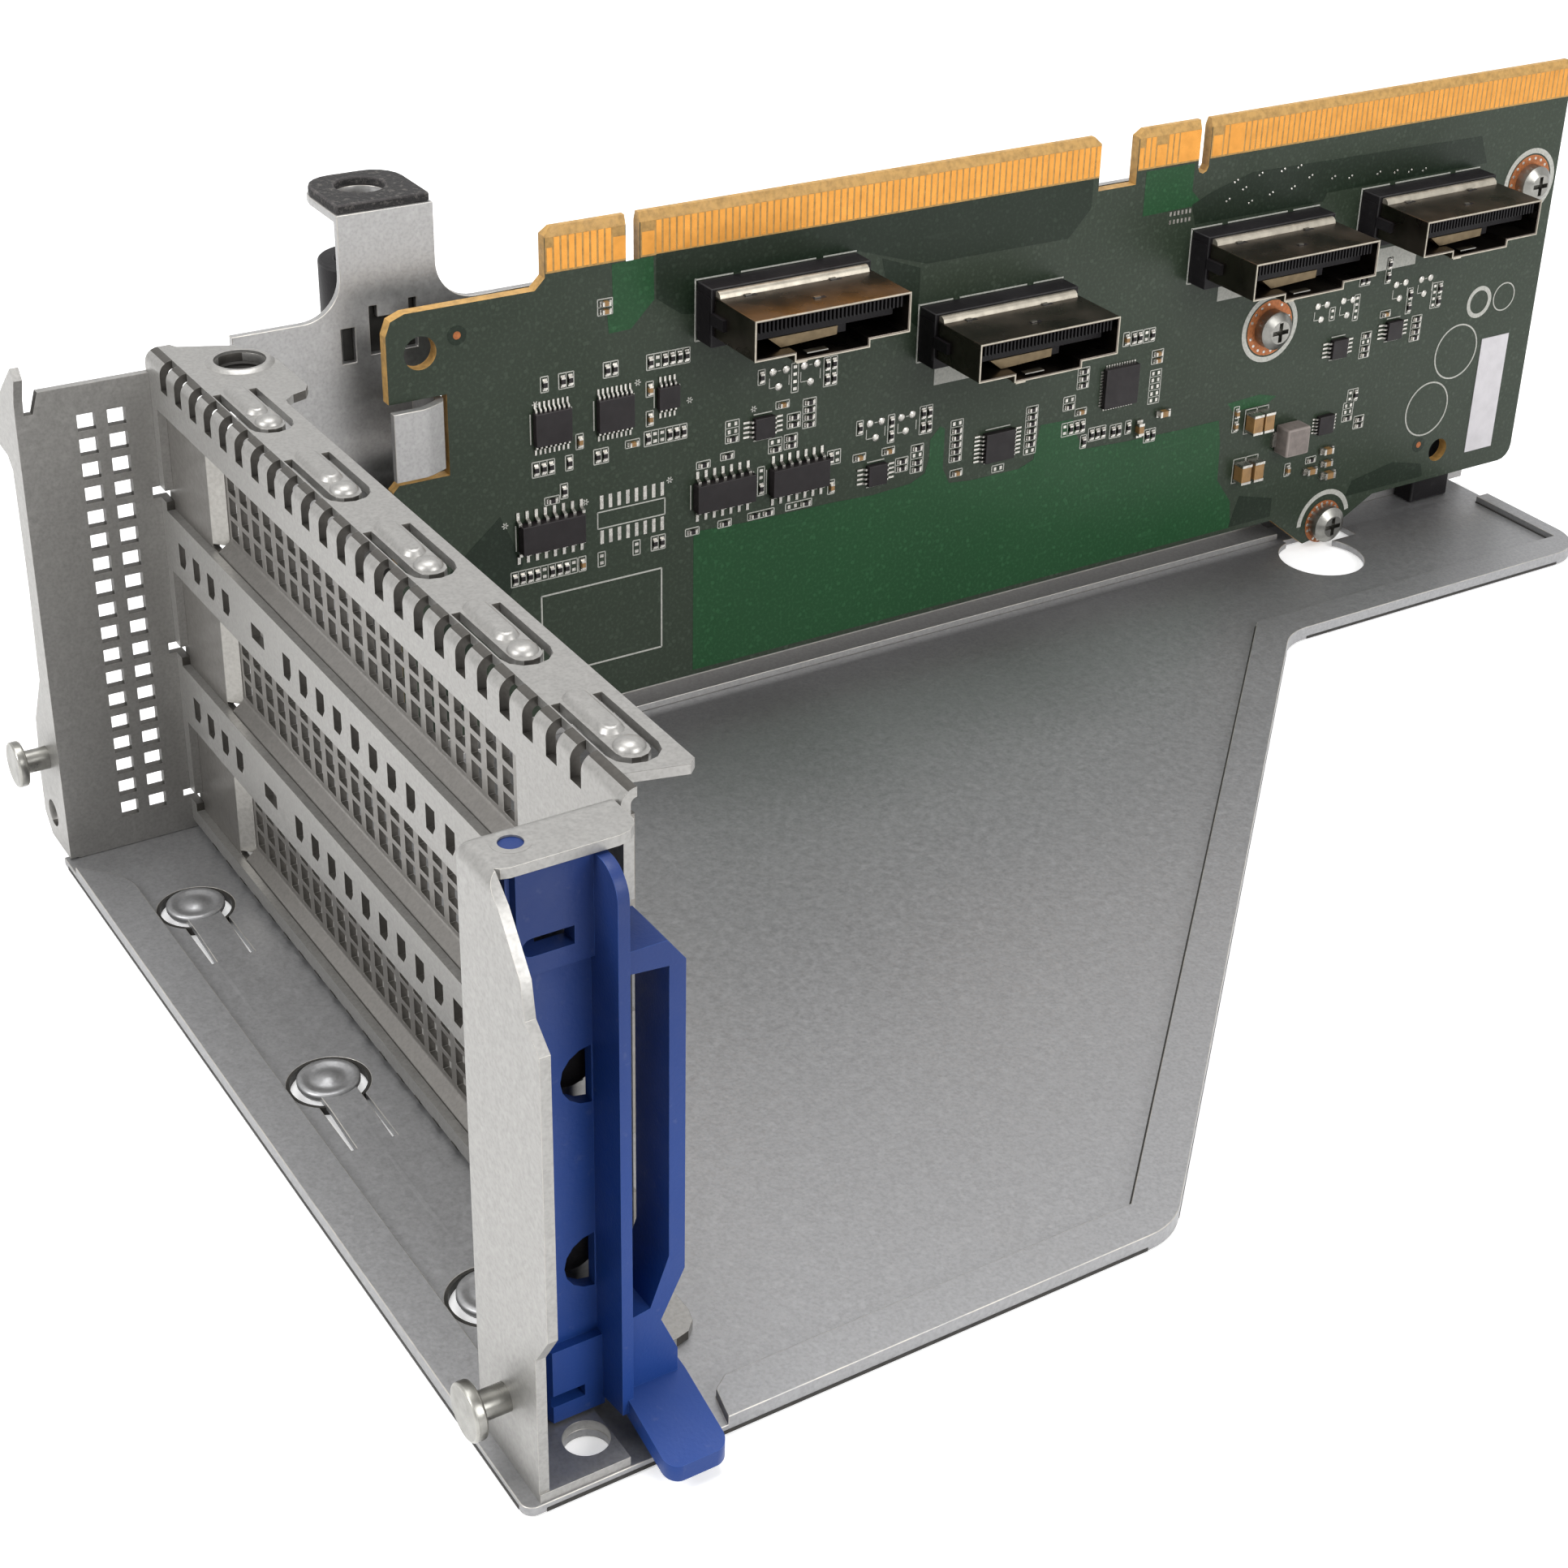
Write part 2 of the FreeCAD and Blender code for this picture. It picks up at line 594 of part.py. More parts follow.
    # Left wall with its two columns of holes
    wall_low = METAL + S["side_gap"]
    wall = [(S["wall_front"] + METAL, wall_low), (METAL, wall_low), (METAL, S["wall_top"]),
            (S["wall_front"] + METAL, S["wall_top"])]
    pad(body, "YZ_Plane", left, S["cage_left"], [wall])
    pocket(body, "YZ_Plane", left - 1, S["cage_left"] + 1, [
        [(S["wall_front"], S["wall_top"] - 2.5), (S["wall_front"] + 2, S["wall_top"] - 2.5),
         (S["wall_front"] + 3, S["wall_top"] + 1), (S["wall_front"], S["wall_top"] + 1)]])
    holes = S["hole_top"] - S["hole_pitch"] * 17
    high = S["hole_tall"] / 2
    wide = S["hole_wide"] / 2
    column = as_size(-7.65)
    window = pocket(body, "YZ_Plane", left - 1, S["cage_left"] + 1,
                    [rectangle(column - wide, holes - high, column + wide, holes + high)])
    repeat(body, [window], "H_Axis", as_size(3.49), 2, (S["hole_pitch"], 18))
    # Corner openings through which the covers' tails show
    corner = pocket(body, "XZ_Plane", -0.9, METAL + 1,
                    [rectangle(left - 1, floor + 1.1, S["window_left"] + 0.2, floor + 2.5)])
    repeat(body, [corner], "V_Axis", S["slot_pitch"], 3)
    # Left ear strip, bent outwards, with its hook at the top
    edge = S["cage_left"]
    strip = [
        (edge, METAL + 0.2), (edge, S["wall_top"] - 3), (edge + 0.2, S["wall_top"] - 0.6),
        (edge + 1.2, S["wall_top"] + 2.2), (edge + 0.2, S["wall_top"] + 3.4),
        (edge - 3.0, S["wall_top"] + 0.6), (edge - 7.2, S["wall_top"] - 3.2),
        (edge - 9.4, S["wall_top"] - 7.2), (edge - 8.2, S["wall_top"] - 8.6),
        (edge - 5.0, S["wall_top"] - 8.9), (edge - 3.6, S["wall_top"] - 10.2),
        (edge - 3.3, S["wall_top"] - 24), (edge - 3.9, as_size(24)), (edge - 7.8, as_size(17)),
        (edge - 8.8, as_size(9.4)), (edge - 8.8, as_size(3.6)), (edge - 6.8, METAL + 0.2),
    ]
    pad(body, "XZ_Plane", S["wall_front"], S["wall_front"] + METAL, [strip])
    pocket(body, "XZ_Plane", S["wall_front"] - 1, S["wall_front"] + METAL + 1, [],
           [(edge - 5.2, as_size(5.0), as_size(1.7)), (edge - 4.9, as_size(13.0), S["shoulder_pin"])])
    return keep(body, "io_panel")


def origin_axis(body, role):
    return [item for item in body.Origin.OriginFeatures if item.Role == role][0]


# Slot covers: a flat rim with a recessed perforated grille

def make_slot_cover(number):
    body = new_body("slot_cover_%d" % number)
    base = S["slot_floor"] + S["slot_pitch"] * (number - 1)
    thin, recess = S["cover_metal"], S["grille_recess"]
    front = METAL
    low, high = base - 1.4, base + S["slot_height"] + 1.7
    left = S["cage_left"] + 0.3
    ramp = S["grille_left"]
    flat = [(front, low), (front + thin, low), (front + thin, high), (front, high)]
    pad(body, "YZ_Plane", left, ramp - recess, [flat])
    back = front + recess
    grille = [
        (front, low), (front, base - 0.2), (front + recess * 0.14, base + 0.25),
        (front + recess * 0.5, base + 0.65), (back - recess * 0.14, base + 1.05), (back, base + 1.5),
        (back, high - 0.2), (back + thin, high - 0.2), (back + thin, base + 1.2),
        (back - recess * 0.14 + thin, base + 0.6), (front + recess * 0.5 + thin, base + 0.1),
        (front + recess * 0.14 + thin, base - 0.4), (front + thin, base - 0.8), (front + thin, low),
    ]
    pad(body, "YZ_Plane", ramp, S["cover_right"], [grille])
    slope = [
        (ramp - recess - 0.2, front), (ramp - recess, front), (ramp, back), (ramp + 0.2, back),
        (ramp + 0.2, back + thin), (ramp - thin * 0.4, back + thin),
        (ramp - recess - thin * 0.4, front + thin), (ramp - recess - 0.2, front + thin),
    ]
    pad(body, "XY_Plane", base + 0.5, high - 0.2, [slope])
    corner = [(ramp - recess - 0.2, front), (ramp + 0.2, front), (ramp + 0.2, front + thin),
              (ramp - recess - 0.2, front + thin)]
    pad(body, "XY_Plane", low, base + 0.1, [corner])
    half = S["grille_hole"] / 2
    first, row = S["grille_first"], base + S["grille_low"]
    hole = pocket(body, "XZ_Plane", front, back + thin + 1,
                  [rectangle(first - half, row - half, first + half, row + half)])
    repeat(body, [hole], "H_Axis", S["grille_pitch"], 22, (S["grille_row"], 3))
    return keep(body, "slot_cover_%d" % number)


# Latch bracket: side wall with an ear above and a foot below, and the right ear strip

def make_latch_bracket():
    body = new_body("latch_bracket")
    inner, outer = S["side_wall"], S["side_wall"] + METAL
    top, front = S["ear_top"], S["strip_front"]
    rear = as_size(-0.3)
    wall = [(front, METAL), (rear, METAL), (rear, top), (front, top)]
    pad(body, "YZ_Plane", inner, outer, [wall])
    foot = [(inner, front), (S["plate_right"] - 0.2, front),
            (S["plate_right"] - 0.2, S["foot_back"]), (outer + 4, S["foot_back"]),
            (outer + 3, S["foot_back"] + 3), (inner, S["foot_back"] + 3)]
    pad(body, "XY_Plane", METAL, METAL * 2, [foot])
    ear = [(inner, front + 0.6)]
    ear += arc_points(S["ear_right"] - 1.6, front + 2.2, as_size(1.6), -90, 0, 3)
    ear += arc_points(S["ear_right"] - 2.2, rear - 2.2, as_size(2.2), 0, 90, 3)
    ear += [(inner, rear)]
    pad(body, "XY_Plane", top - METAL, top, [ear])
    left, right = inner, S["strip_right"]
    strip = [
        (left, METAL), (right, METAL), (right, as_size(17.4)), (right + 2.4, as_size(21.2)),
        (right + 2.4, as_size(50.6)), (right, as_size(52.6)), (right - 0.6, as_size(56.0)),
        (right - 4.2, as_size(60.8)), (right - 6.6, top), (left, top),
    ]
    pad(body, "XZ_Plane", front, front + METAL, [strip])
    tab = [(outer, as_size(55.0)), (outer + 3.6, as_size(55.0)), (outer + 3.6, top), (outer, top)]
    pad(body, "XZ_Plane", rear - METAL, rear, [tab])
    clear = S["pivot_pin"] + S["pivot_clear"]
    pocket(body, "XY_Plane", 0, top + 1, [],
           [(S["pivot_x"], S["pivot_y"], clear), (as_size(114.0), as_size(-7.8), as_size(2.2))])
    pocket(body, "XZ_Plane", front - 1, front + METAL + 1, [],
           [(as_size(111.7), as_size(8.4), S["shoulder_pin"])])
    round_edges(body, 2, [(inner, front)], 1.2)
    round_edges(body, 1, [(inner, top)], 1.4)
    return keep(body, "latch_bracket")


# Release latch: a plastic lever that turns on two stubs

def make_release_latch():
    body = new_body("release_latch")
    x0, y0 = S["pivot_x"], S["pivot_y"]
    low = METAL * 2 + S["latch_clear"]
    high = S["ear_top"] - METAL - S["latch_clear"]
    web_in, web_out = S["web_back"], S["web_back"] + S["web_thick"]
    fin_front, fin_back = S["fin_front"], S["fin_front"] + S["fin_thick"]
    pad(body, "XY_Plane", low, high, [], [(x0, y0, S["barrel"])])
    pad(body, "XY_Plane", METAL + S["side_gap"], S["ear_top"] - S["side_gap"] * 4, [],
        [(x0, y0, S["pivot_pin"])])
    web = [(web_in, y0 - 1.6), (web_out, y0 - 1.6), (web_out, fin_back), (web_in, fin_back)]
    pad(body, "XY_Plane", low, high, [web])
    # Raised panels at the web's two ends
    proud = [(web_out - 0.2, y0 + 0.6), (web_out + 1.0, y0 + 1.0), (web_out + 1.0, fin_front + 0.2),
             (web_out - 0.2, fin_front + 0.2)]
    pad(body, "XY_Plane", low, as_size(10.6), [proud])
    frame = [(web_out - 0.2, y0 - 1.3), (web_out + 0.7, y0 - 1.0), (web_out + 0.7, fin_front + 0.2),
             (web_out - 0.2, fin_front + 0.2)]
    pad(body, "XY_Plane", as_size(51.4), high, [frame])
    fin = [(web_in, low + 0.6), (S["fin_out"], low + 1.6), (S["fin_out"], high), (web_in, high)]
    pad(body, "XZ_Plane", fin_front, fin_back, [fin])
    # Finger grip: a loop behind the fin
    back, bar, top = S["grip_back"], S["grip_bar"], S["grip_top"]
    outline = [
        (fin_back - 0.2, low + 3.0), (back - 0.7, low + 3.0), (back - 0.7, low + 6.0),
        (back - 2.4, as_size(12.4)), (back, as_size(17.4)), (back, top - 2.4), (back - 1.8, top),
        (fin_back - 0.2, top),
    ]
    inside = [
        (fin_back, as_size(13.8)), (back - bar - 1.9, as_size(14.2)), (back - bar, as_size(19.4)),
        (back - bar, top - bar - 1.0), (fin_back, top - bar - 0.6),
    ]
    pad(body, "YZ_Plane", S["grip_in"], S["grip_out"], [outline])
    pocket(body, "YZ_Plane", S["grip_in"] - 1, S["grip_out"] + 1, [inside])
    # Thumb tab that slopes out over the plate's edge
    tab = [
        (S["grip_in"] + 1.5, low + 1.4), (S["grip_out"] - 0.5, low + 1.4), (TAB_OUT, low - 0.9),
        (TAB_OUT, low + 0.9), (S["grip_out"] + 0.2, low + 3.4), (S["grip_in"] + 1.5, low + 4.0),
    ]
    pad(body, "XZ_Plane", fin_front + 0.6, back, [tab])
    # Slots and half-round openings in the web
    pocket(body, "YZ_Plane", web_in - 1, web_out + 2,
           [[(y0 + 4.2, as_size(53.2)), (y0 + 4.2, as_size(55.0))]
            + arc_points(y0 + 0.3, as_size(54.1), as_size(0.9), 90, 270, 6),
            rectangle(y0 + 0.9, as_size(4.2), y0 + 4.2, as_size(5.5))])
    for height in (39.0, 18.7):
        half_round = arc_points(fin_front - 0.1, as_size(height), as_size(3.0), 90, 270, 8)
        pocket(body, "YZ_Plane", web_in - 1, web_out + 2, [half_round])
    round_edges(body, 2, [(TAB_OUT, fin_front + 0.6), (TAB_OUT, back)], 1.5)
    round_edges(body, 1, [(S["fin_out"], high)], 3.0)
    return keep(body, "release_latch")


# Riser wall: the folded sheet behind the board, with its tall arm and its hook

def make_riser_wall():
    body = new_body("riser_wall")
    start, end, top = S["riser_start"], S["riser_end"], S["riser_top"]
    left, right, high = S["arm_left"], S["arm_right"], S["arm_top"]
    wall = [
        (start, METAL), (end, METAL), (end, top), (right, top), (right, high), (left, high),
        (left, top), (start, top),
    ]
    pad(body, "YZ_Plane", RISER_BACK, RISER_FACE, [wall])
    round_edges(body, 0, [(left, top), (right, top)], 5)
    # Bent top of the arm, with an access hole above the captive screw
    shoulder = [(RISER_BACK + 0.2, left), (RISER_BACK + 0.2, right)]
    shoulder += arc_points(S["arm_back"] + 4, right - 4, as_size(4), 90, 180, 4)
    shoulder += arc_points(S["arm_back"] + 4, left + 4, as_size(4), 180, 270, 4)
    pad(body, "XY_Plane", high - METAL, high, [shoulder], [(S["screw_x"], S["screw_y"], as_size(3.1))])
    # Shelf that carries the captive screw
    shelf_low = SHELF_TOP - METAL
    shelf = rectangle(S["screw_x"] - S["knob"] - 0.5, left, RISER_BACK + 0.2, right)
    pad(body, "XY_Plane", shelf_low, SHELF_TOP, [shelf], [(S["screw_x"], S["screw_y"], S["screw_neck"] + S["pivot_clear"])])
    # Foot under the board, and the hook that grips the board's notch
    gap = 184.0
    foot = [(RISER_FACE - 0.2, start + 6), (RISER_FACE + 4, start + 6), (RISER_FACE + 4, as_size(gap - 8)),
            (RISER_FACE - 0.2, as_size(gap - 8))]
    pad(body, "XY_Plane", METAL, METAL * 2, [foot])
    hook_right = S["hook_in"] - 0.4
    stem = hook_right - METAL
    out = as_size(2.2)
    hook = [
        (RISER_FACE - 0.2, hook_right), (out - 2.4, hook_right), (out - 1.3, hook_right - 0.5),
        (out - 0.3, hook_right - 2.6), (out, hook_right - 3.6), (out, hook_right - 7.5),
        (out - METAL, hook_right - 7.5), (out - METAL, hook_right - 3.6), (out - 1.9, hook_right - 1.7),
        (out - 2.4, stem), (RISER_FACE - 0.2, stem),
    ]
    hook_base, hook_crest = S["hook_low"] + 1.4, S["hook_high"] - 0.4
    pad(body, "XY_Plane", hook_base, hook_crest, [hook])
    # Small slot, the opening with two horns behind the board, and the gap the hook was folded from
    horn, sill = top + 0.9, top - 0.6
    pocket(body, "YZ_Plane", RISER_BACK - 0.5, RISER_FACE + 0.5, [
        rectangle(left - 0.3, top - 5.8, left + 1.5, top - 1.4),
        [(left + 3.4, sill - 4.6), (left + 9.5, sill - 4.6), (left + 9.5, horn + 0.2), (left + 8.5, horn + 0.2),
         (left + 8.5, sill), (left + 4.4, sill), (left + 4.4, horn), (left + 3.4, horn)],
        rectangle(hook_right + 0.6, hook_base, hook_right + 6.6, hook_crest),
    ])
    pocket(body, "YZ_Plane", RISER_BACK - 0.5, RISER_FACE + 0.5, [],
           [(y, z, S["screw_shank"] + S["side_gap"]) for y, z in SCREW_SPOTS])
    return keep(body, "riser_wall")


SCREW_SPOTS = [(as_size(216.8), as_size(53.8)), (as_size(166.4), as_size(38.9)),
               (as_size(182.3), as_size(4.0))]


# Riser board: two contact edges along the top, notches, holes and a screw tab

def make_riser_board():
    body = new_body("riser_board")
    left, right, low, high = S["board_left"], S["board_right"], S["board_low"], S["board_top"]
    shoulder = S["board_shoulder"]
    key = S["key_wide"]
    hollow = shoulder - 0.1

    def slot(start):
        middle = start + key / 2
        return [(start, high), (start, hollow + key / 2), (start + key * 0.15, hollow + key * 0.15),
                (middle, hollow), (start + key * 0.85, hollow + key * 0.15),
                (start + key, hollow + key / 2), (start + key, high)]

    tab_y, tab_z = SCREW_SPOTS[2][0] + 0.5, SCREW_SPOTS[2][1]
    outline = [(left, low + 1), (left + 1, low), (tab_y - 11.5, low), (tab_y - 4.2, as_size(0.9))]
    outline += arc_points(tab_y, tab_z, as_size(3.7), -130, -10, 5)
    outline += [
        (tab_y + 9.6, low),
    ]
    outline += arc_points(right - 2.5, low + 2.5, as_size(2.5), -90, 0, 4)
    outline += [(right, high - 1), (right - 1, high)]
    outline += list(reversed(slot(S["key_two"])))
    outline += [(S["gap_right"] + 1, high), (S["gap_right"], high - 1), (S["gap_right"], shoulder),
                (S["gap_left"], shoulder), (S["gap_left"], high - 1), (S["gap_left"] - 1, high)]
    outline += list(reversed(slot(S["key_one"])))
    outline += [
        (S["contact_start"] + 1, high), (S["contact_start"], high - 1),
        (S["contact_start"], shoulder + 1.4), (S["contact_start"] - 1.4, shoulder),
        (left + 2.5, shoulder), (left + 0.7, shoulder - 0.7), (left, shoulder - 2.5),
        (left, S["hook_high"]), (S["hook_in"], S["hook_high"]), (S["hook_in"], S["hook_low"]),
        (left + 0.8, S["hook_low"]), (left, S["hook_low"] - 0.8),
    ]
    holes = [(y, z, S["screw_shank"] + S["side_gap"] * 2) for y, z in SCREW_SPOTS]
    holes += [(as_size(31.3), as_size(59.4), as_size(2.1)), (as_size(205.7), as_size(11.3), as_size(1.9))]
    pad(body, "YZ_Plane", -S["board_thick"], 0, [outline], holes)
    return keep(body, "riser_board")


# Cable connectors: a black base with a thin metal shell that stands away from the board

CONNECTOR_SPOTS = [(69.0, 54.4), (103.3, 45.2), (149.7, 48.6), (181.8, 49.8)]


def make_connector(number, left, low):
    base_name, shell_name = "connector_base_%d" % number, "connector_shell_%d" % number
    long, wide = S["plug_long"], S["plug_wide"]
    tall, base_tall = S["plug_tall"], S["plug_base"]
    metal = S["shell_metal"]
    left, low = as_size(left), as_size(low)
    top = low + wide
    base = new_body(base_name)
    pad(base, "YZ_Plane", 0, base_tall, [rectangle(left, low, left + long, top)])
    pad(base, "YZ_Plane", base_tall, tall - 2.2,
        [rectangle(left + 1.6, low + 3.3, left + long - 1.6, low + 4.9)])
    keep(base, base_name)
    shell = new_body(shell_name)
    right = left + long
    mouth = top - 1.0
    floor = mouth - S["shell_tall"]
    outline = [
        (left + 0.4, mouth), (left + 0.4, floor), (left + 6.2, floor), (left + 6.2, floor - 1.0),
        (right - 6.4, floor - 1.0), (right - 6.4, floor), (right - 0.4, floor), (right - 0.4, mouth),
    ]
    inside = [
        (left + 0.4 + metal, mouth - metal), (left + 0.4 + metal, floor + metal),
        (left + 6.2 + metal, floor + metal), (left + 6.2 + metal, floor - 1.0 + metal),
        (right - 6.4 - metal, floor - 1.0 + metal), (right - 6.4 - metal, floor + metal),
        (right - 0.4 - metal, floor + metal), (right - 0.4 - metal, mouth - metal),
    ]
    pad(shell, "YZ_Plane", base_tall, tall, [outline, inside])
    keep(shell, shell_name)


# Board fasteners, shoulder pins and the captive screw

def make_screws():
    heads, posts = [], []
    for number, (y, z) in enumerate(SCREW_SPOTS, start=1):
        spot = (as_size(0), y, z)
        head = rod("screw_head_%d" % number, "X", spot, S["screw_head"], as_size(1.7))
        crown = doc.addObject("Part::Cone", "screw_crown_%d" % number)
        set_sizes(crown, Radius1=S["screw_head"], Radius2=S["screw_head"] * 0.6, Height=0.8)
        place_item(crown, (as_size(1.7), y, z), TURNS["X"])
        depth = S["board_thick"] + S["standoff"] + METAL
        shank = rod("screw_shank_%d" % number, "X", (-depth, y, z), S["screw_shank"], depth)
        whole = join("screw_%d" % number, [head, crown, shank])
        across = block("cross_a_%d" % number, (as_size(1.4), y - 1.5, z - 0.35), (as_size(3), y + 1.5, z + 0.35))
        along = block("cross_b_%d" % number, (as_size(1.4), y - 0.35, z - 1.5), (as_size(3), y + 0.35, z + 1.5))
        recess = join("cross_%d" % number, [across, along])
        heads.append(cut("board_screw_%d" % number, whole, recess))
        post = doc.addObject("Part::Prism", "post_%d" % number)
        post.Polygon = 6
        set_sizes(post, Circumradius=S["standoff_radius"], Height=S["standoff"])
        place_item(post, (RISER_FACE, y, z), TURNS["X"])
        bore = rod("bore_%d" % number, "X", (RISER_FACE - 1, y, z), S["screw_shank"] + S["side_gap"],
                   S["standoff"] + 2)
        posts.append(cut("standoff_%d" % number, post, bore))
    keep(group("board_screws", heads), "board_screws")
    keep(group("board_standoffs", posts), "board_standoffs")


def make_shoulder_pins():
    pins = []
    spots = [(S["cage_left"] - 4.9, S["wall_front"], as_size(13.0)),
             (as_size(111.7), S["strip_front"], as_size(8.4))]
    for number, (x, face, z) in enumerate(spots, start=1):
        shaft = rod("pin_shaft_%d" % number, "Y", (x, face - 2.9, z), S["shoulder_pin"], METAL + 2.9)
        head = rod("pin_head_%d" % number, "Y", (x, face - 4.1, z), S["shoulder_head"], as_size(1.2))
        collar = rod("pin_collar_%d" % number, "Y", (x, face + METAL, z), as_size(2.3), as_size(0.7))
        pins.append(join("shoulder_pin_%d" % number, [shaft, head, collar]))
    keep(group("shoulder_pins", pins), "shoulder_pins")


def make_captive_screw():
    x, y = S["screw_x"], S["screw_y"]
    low, step = KNOB_LOW, KNOB_LOW + 6.5
    sleeve = rod("knob_outside", "Z", (x, y, low), S["knob"], S["knob_tall"])
    well = rod("knob_well", "Z", (x, y, step), as_size(3.4), S["knob_tall"])
    bore = rod("knob_bore", "Z", (x, y, low - 1), S["screw_neck"], as_size(20))
    hollow = join("knob_hollow", [well, bore])
    keep(cut("screw_knob", sleeve, hollow), "screw_knob")
    head = rod("captive_head", "Z", (x, y, step), as_size(3.3), as_size(2.4))
    neck_low = SHELF_TOP - METAL - 0.6
    neck = rod("captive_neck", "Z", (x, y, neck_low), S["screw_neck"], step - neck_low)
    thread = rod("captive_thread", "Z", (x, y, neck_low - S["thread_long"]), S["screw_thread"],
                 S["thread_long"])
    whole = join("captive_whole", [head, neck, thread])
    slot = block("captive_slot", (x - 2.6, y - 0.5, step + 1.6), (x + 2.6, y + 0.5, step + 4))
    keep(cut("captive_screw", whole, slot), "captive_screw")


def make_foam_pad():
    body = new_body("foam_pad")
    left, right, back = S["arm_left"], S["arm_right"], S["arm_back"]
    outline = [(RISER_BACK + 0.6, left + 0.2), (RISER_BACK + 0.6, right - 0.2)]
    outline += arc_points(back + 4, right - 4, as_size(3.8), 90, 180, 5)
    outline += arc_points(back + 4, left + 4, as_size(3.8), 180, 270, 5)
    pad(body, "XY_Plane", S["arm_top"], S["arm_top"] + 1.1, [outline],
        [(S["screw_x"], S["screw_y"], as_size(3.0))])
    return keep(body, "foam_pad")


# Parts soldered to the board

def chip(name, y, z, long, wide, tall):
    half_long, half_wide = long / 2, wide / 2
    return block(name, (as_size(0), as_size(y - half_long), as_size(z - half_wide)),
                 (as_size(tall), as_size(y + half_long), as_size(z + half_wide)))


CHIPS = {
    "buffer_chips": (8.8, 3.9, 1.5, [(47.8, 32.5), (73.0, 32.7), (84.5, 32.5)]),
    "logic_chips": (5.0, 4.4, 1.0, [(48.3, 46.8), (57.1, 46.9), (117.5, 30.2)]),
    "small_chips": (3.0, 3.0, 0.9, [(64.7, 47.6), (79.0, 40.6), (97.1, 30.1), (180.6, 33.2), (191.7, 34.2),
                                    (179.8, 21.0)]),
    "main_chip": (6.0, 6.0, 0.9, [(138.6, 35.1)]),
    "power_inductor": (4.5, 4.5, 3.0, [(172.3, 20.5)]),
    "power_capacitors": (1.8, 3.0, 2.0, [(164.7, 24.4), (166.9, 24.4), (163.4, 16.6), (165.9, 16.6)]),
}


def make_board_parts():
    for name, (long, wide, tall, spots) in CHIPS.items():
        pieces = [chip("%s_%d" % (name, index), y, z, long, wide, tall)
                  for index, (y, z) in enumerate(spots, start=1)]
        keep(group(name, pieces), name)


def make_small_pieces():
    # Black studs on the bracket's wall that show through the latch's half-round openings
    studs = []
    for number, height in enumerate((39.0, 18.7), start=1):
        outer = S["side_wall"] + METAL
        stud = rod("stud_%d" % number, "X", (outer, S["fin_front"] - 1.0, as_size(height)),
                   as_size(2.8), S["grip_in"] - 0.25 - outer)
        studs.append(stud)
    keep(group("wall_studs", studs), "wall_studs")
    end = block("end_block", (RISER_FACE, as_size(204.5), METAL),
                (as_size(-3.0), as_size(212.5), as_size(5.6)))
    keep(end, "end_block")


make_cover_plate()
make_io_panel()
for slot_number in (1, 2, 3):
    make_slot_cover(slot_number)
make_latch_bracket()
make_release_latch()
make_riser_wall()
make_riser_board()
for slot_number, (spot_y, spot_z) in enumerate(CONNECTOR_SPOTS, start=1):
    make_connector(slot_number, spot_y, spot_z)
make_screws()
make_shoulder_pins()
make_captive_screw()
make_foam_pad()
make_board_parts()
make_small_pieces()
doc.recompute()

# Every object has to be sound before anything is written
broken = [(item.Name, item.getStatusString()) for item in doc.Objects if "Invalid" in item.State]
if broken:
    raise RuntimeError("these failed: %s" % broken)
for name, item in nodes:
    if item.Shape.isNull() or not item.Shape.isValid():
        raise RuntimeError(name + " has no valid shape")

os.makedirs("parts", exist_ok=True)
for name, item in nodes:
    item.Shape.exportStep("parts/%s.step" % name)
    print("%-20s solids %d  volume %.1f" % (name, len(item.Shape.Solids), item.Shape.Volume))
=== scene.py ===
import math
import random

import bmesh
import bpy
from mathutils import Matrix, Vector


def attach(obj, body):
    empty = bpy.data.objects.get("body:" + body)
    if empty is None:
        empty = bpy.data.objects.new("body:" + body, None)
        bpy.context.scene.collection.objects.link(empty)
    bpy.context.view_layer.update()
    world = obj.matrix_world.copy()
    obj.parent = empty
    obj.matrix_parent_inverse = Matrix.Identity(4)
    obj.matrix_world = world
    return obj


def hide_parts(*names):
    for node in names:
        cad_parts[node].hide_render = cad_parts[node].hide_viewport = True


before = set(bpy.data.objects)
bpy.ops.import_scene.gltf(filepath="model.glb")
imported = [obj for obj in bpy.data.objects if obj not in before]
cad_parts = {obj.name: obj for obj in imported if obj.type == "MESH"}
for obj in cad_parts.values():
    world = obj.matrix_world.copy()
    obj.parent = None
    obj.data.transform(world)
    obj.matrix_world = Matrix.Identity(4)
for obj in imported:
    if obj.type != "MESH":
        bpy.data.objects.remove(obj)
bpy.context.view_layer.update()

MM = 0.001
scene = bpy.context.scene
draw = random.Random(7)


# Mesh helpers: every size is in millimetres and goes straight into the vertices

def box_into(bm, low, high):
    xs, ys, zs = zip(low, high)
    corners = [bm.verts.new((x * MM, y * MM, z * MM)) for x in xs for y in ys for z in zs]
    for a, b, c, d in ((0, 1, 3, 2), (4, 6, 7, 5), (0, 4, 5, 1), (2, 3, 7, 6), (0, 2, 6, 4), (1, 5, 7, 3)):
        bm.faces.new((corners[a], corners[b], corners[c], corners[d]))


def spot(axis, u, v, height):
    """A point from two in-plane values and a height along an axis."""
    point = {"X": (height, u, v), "Y": (u, height, v), "Z": (u, v, height)}[axis]
    return Vector(point) * MM


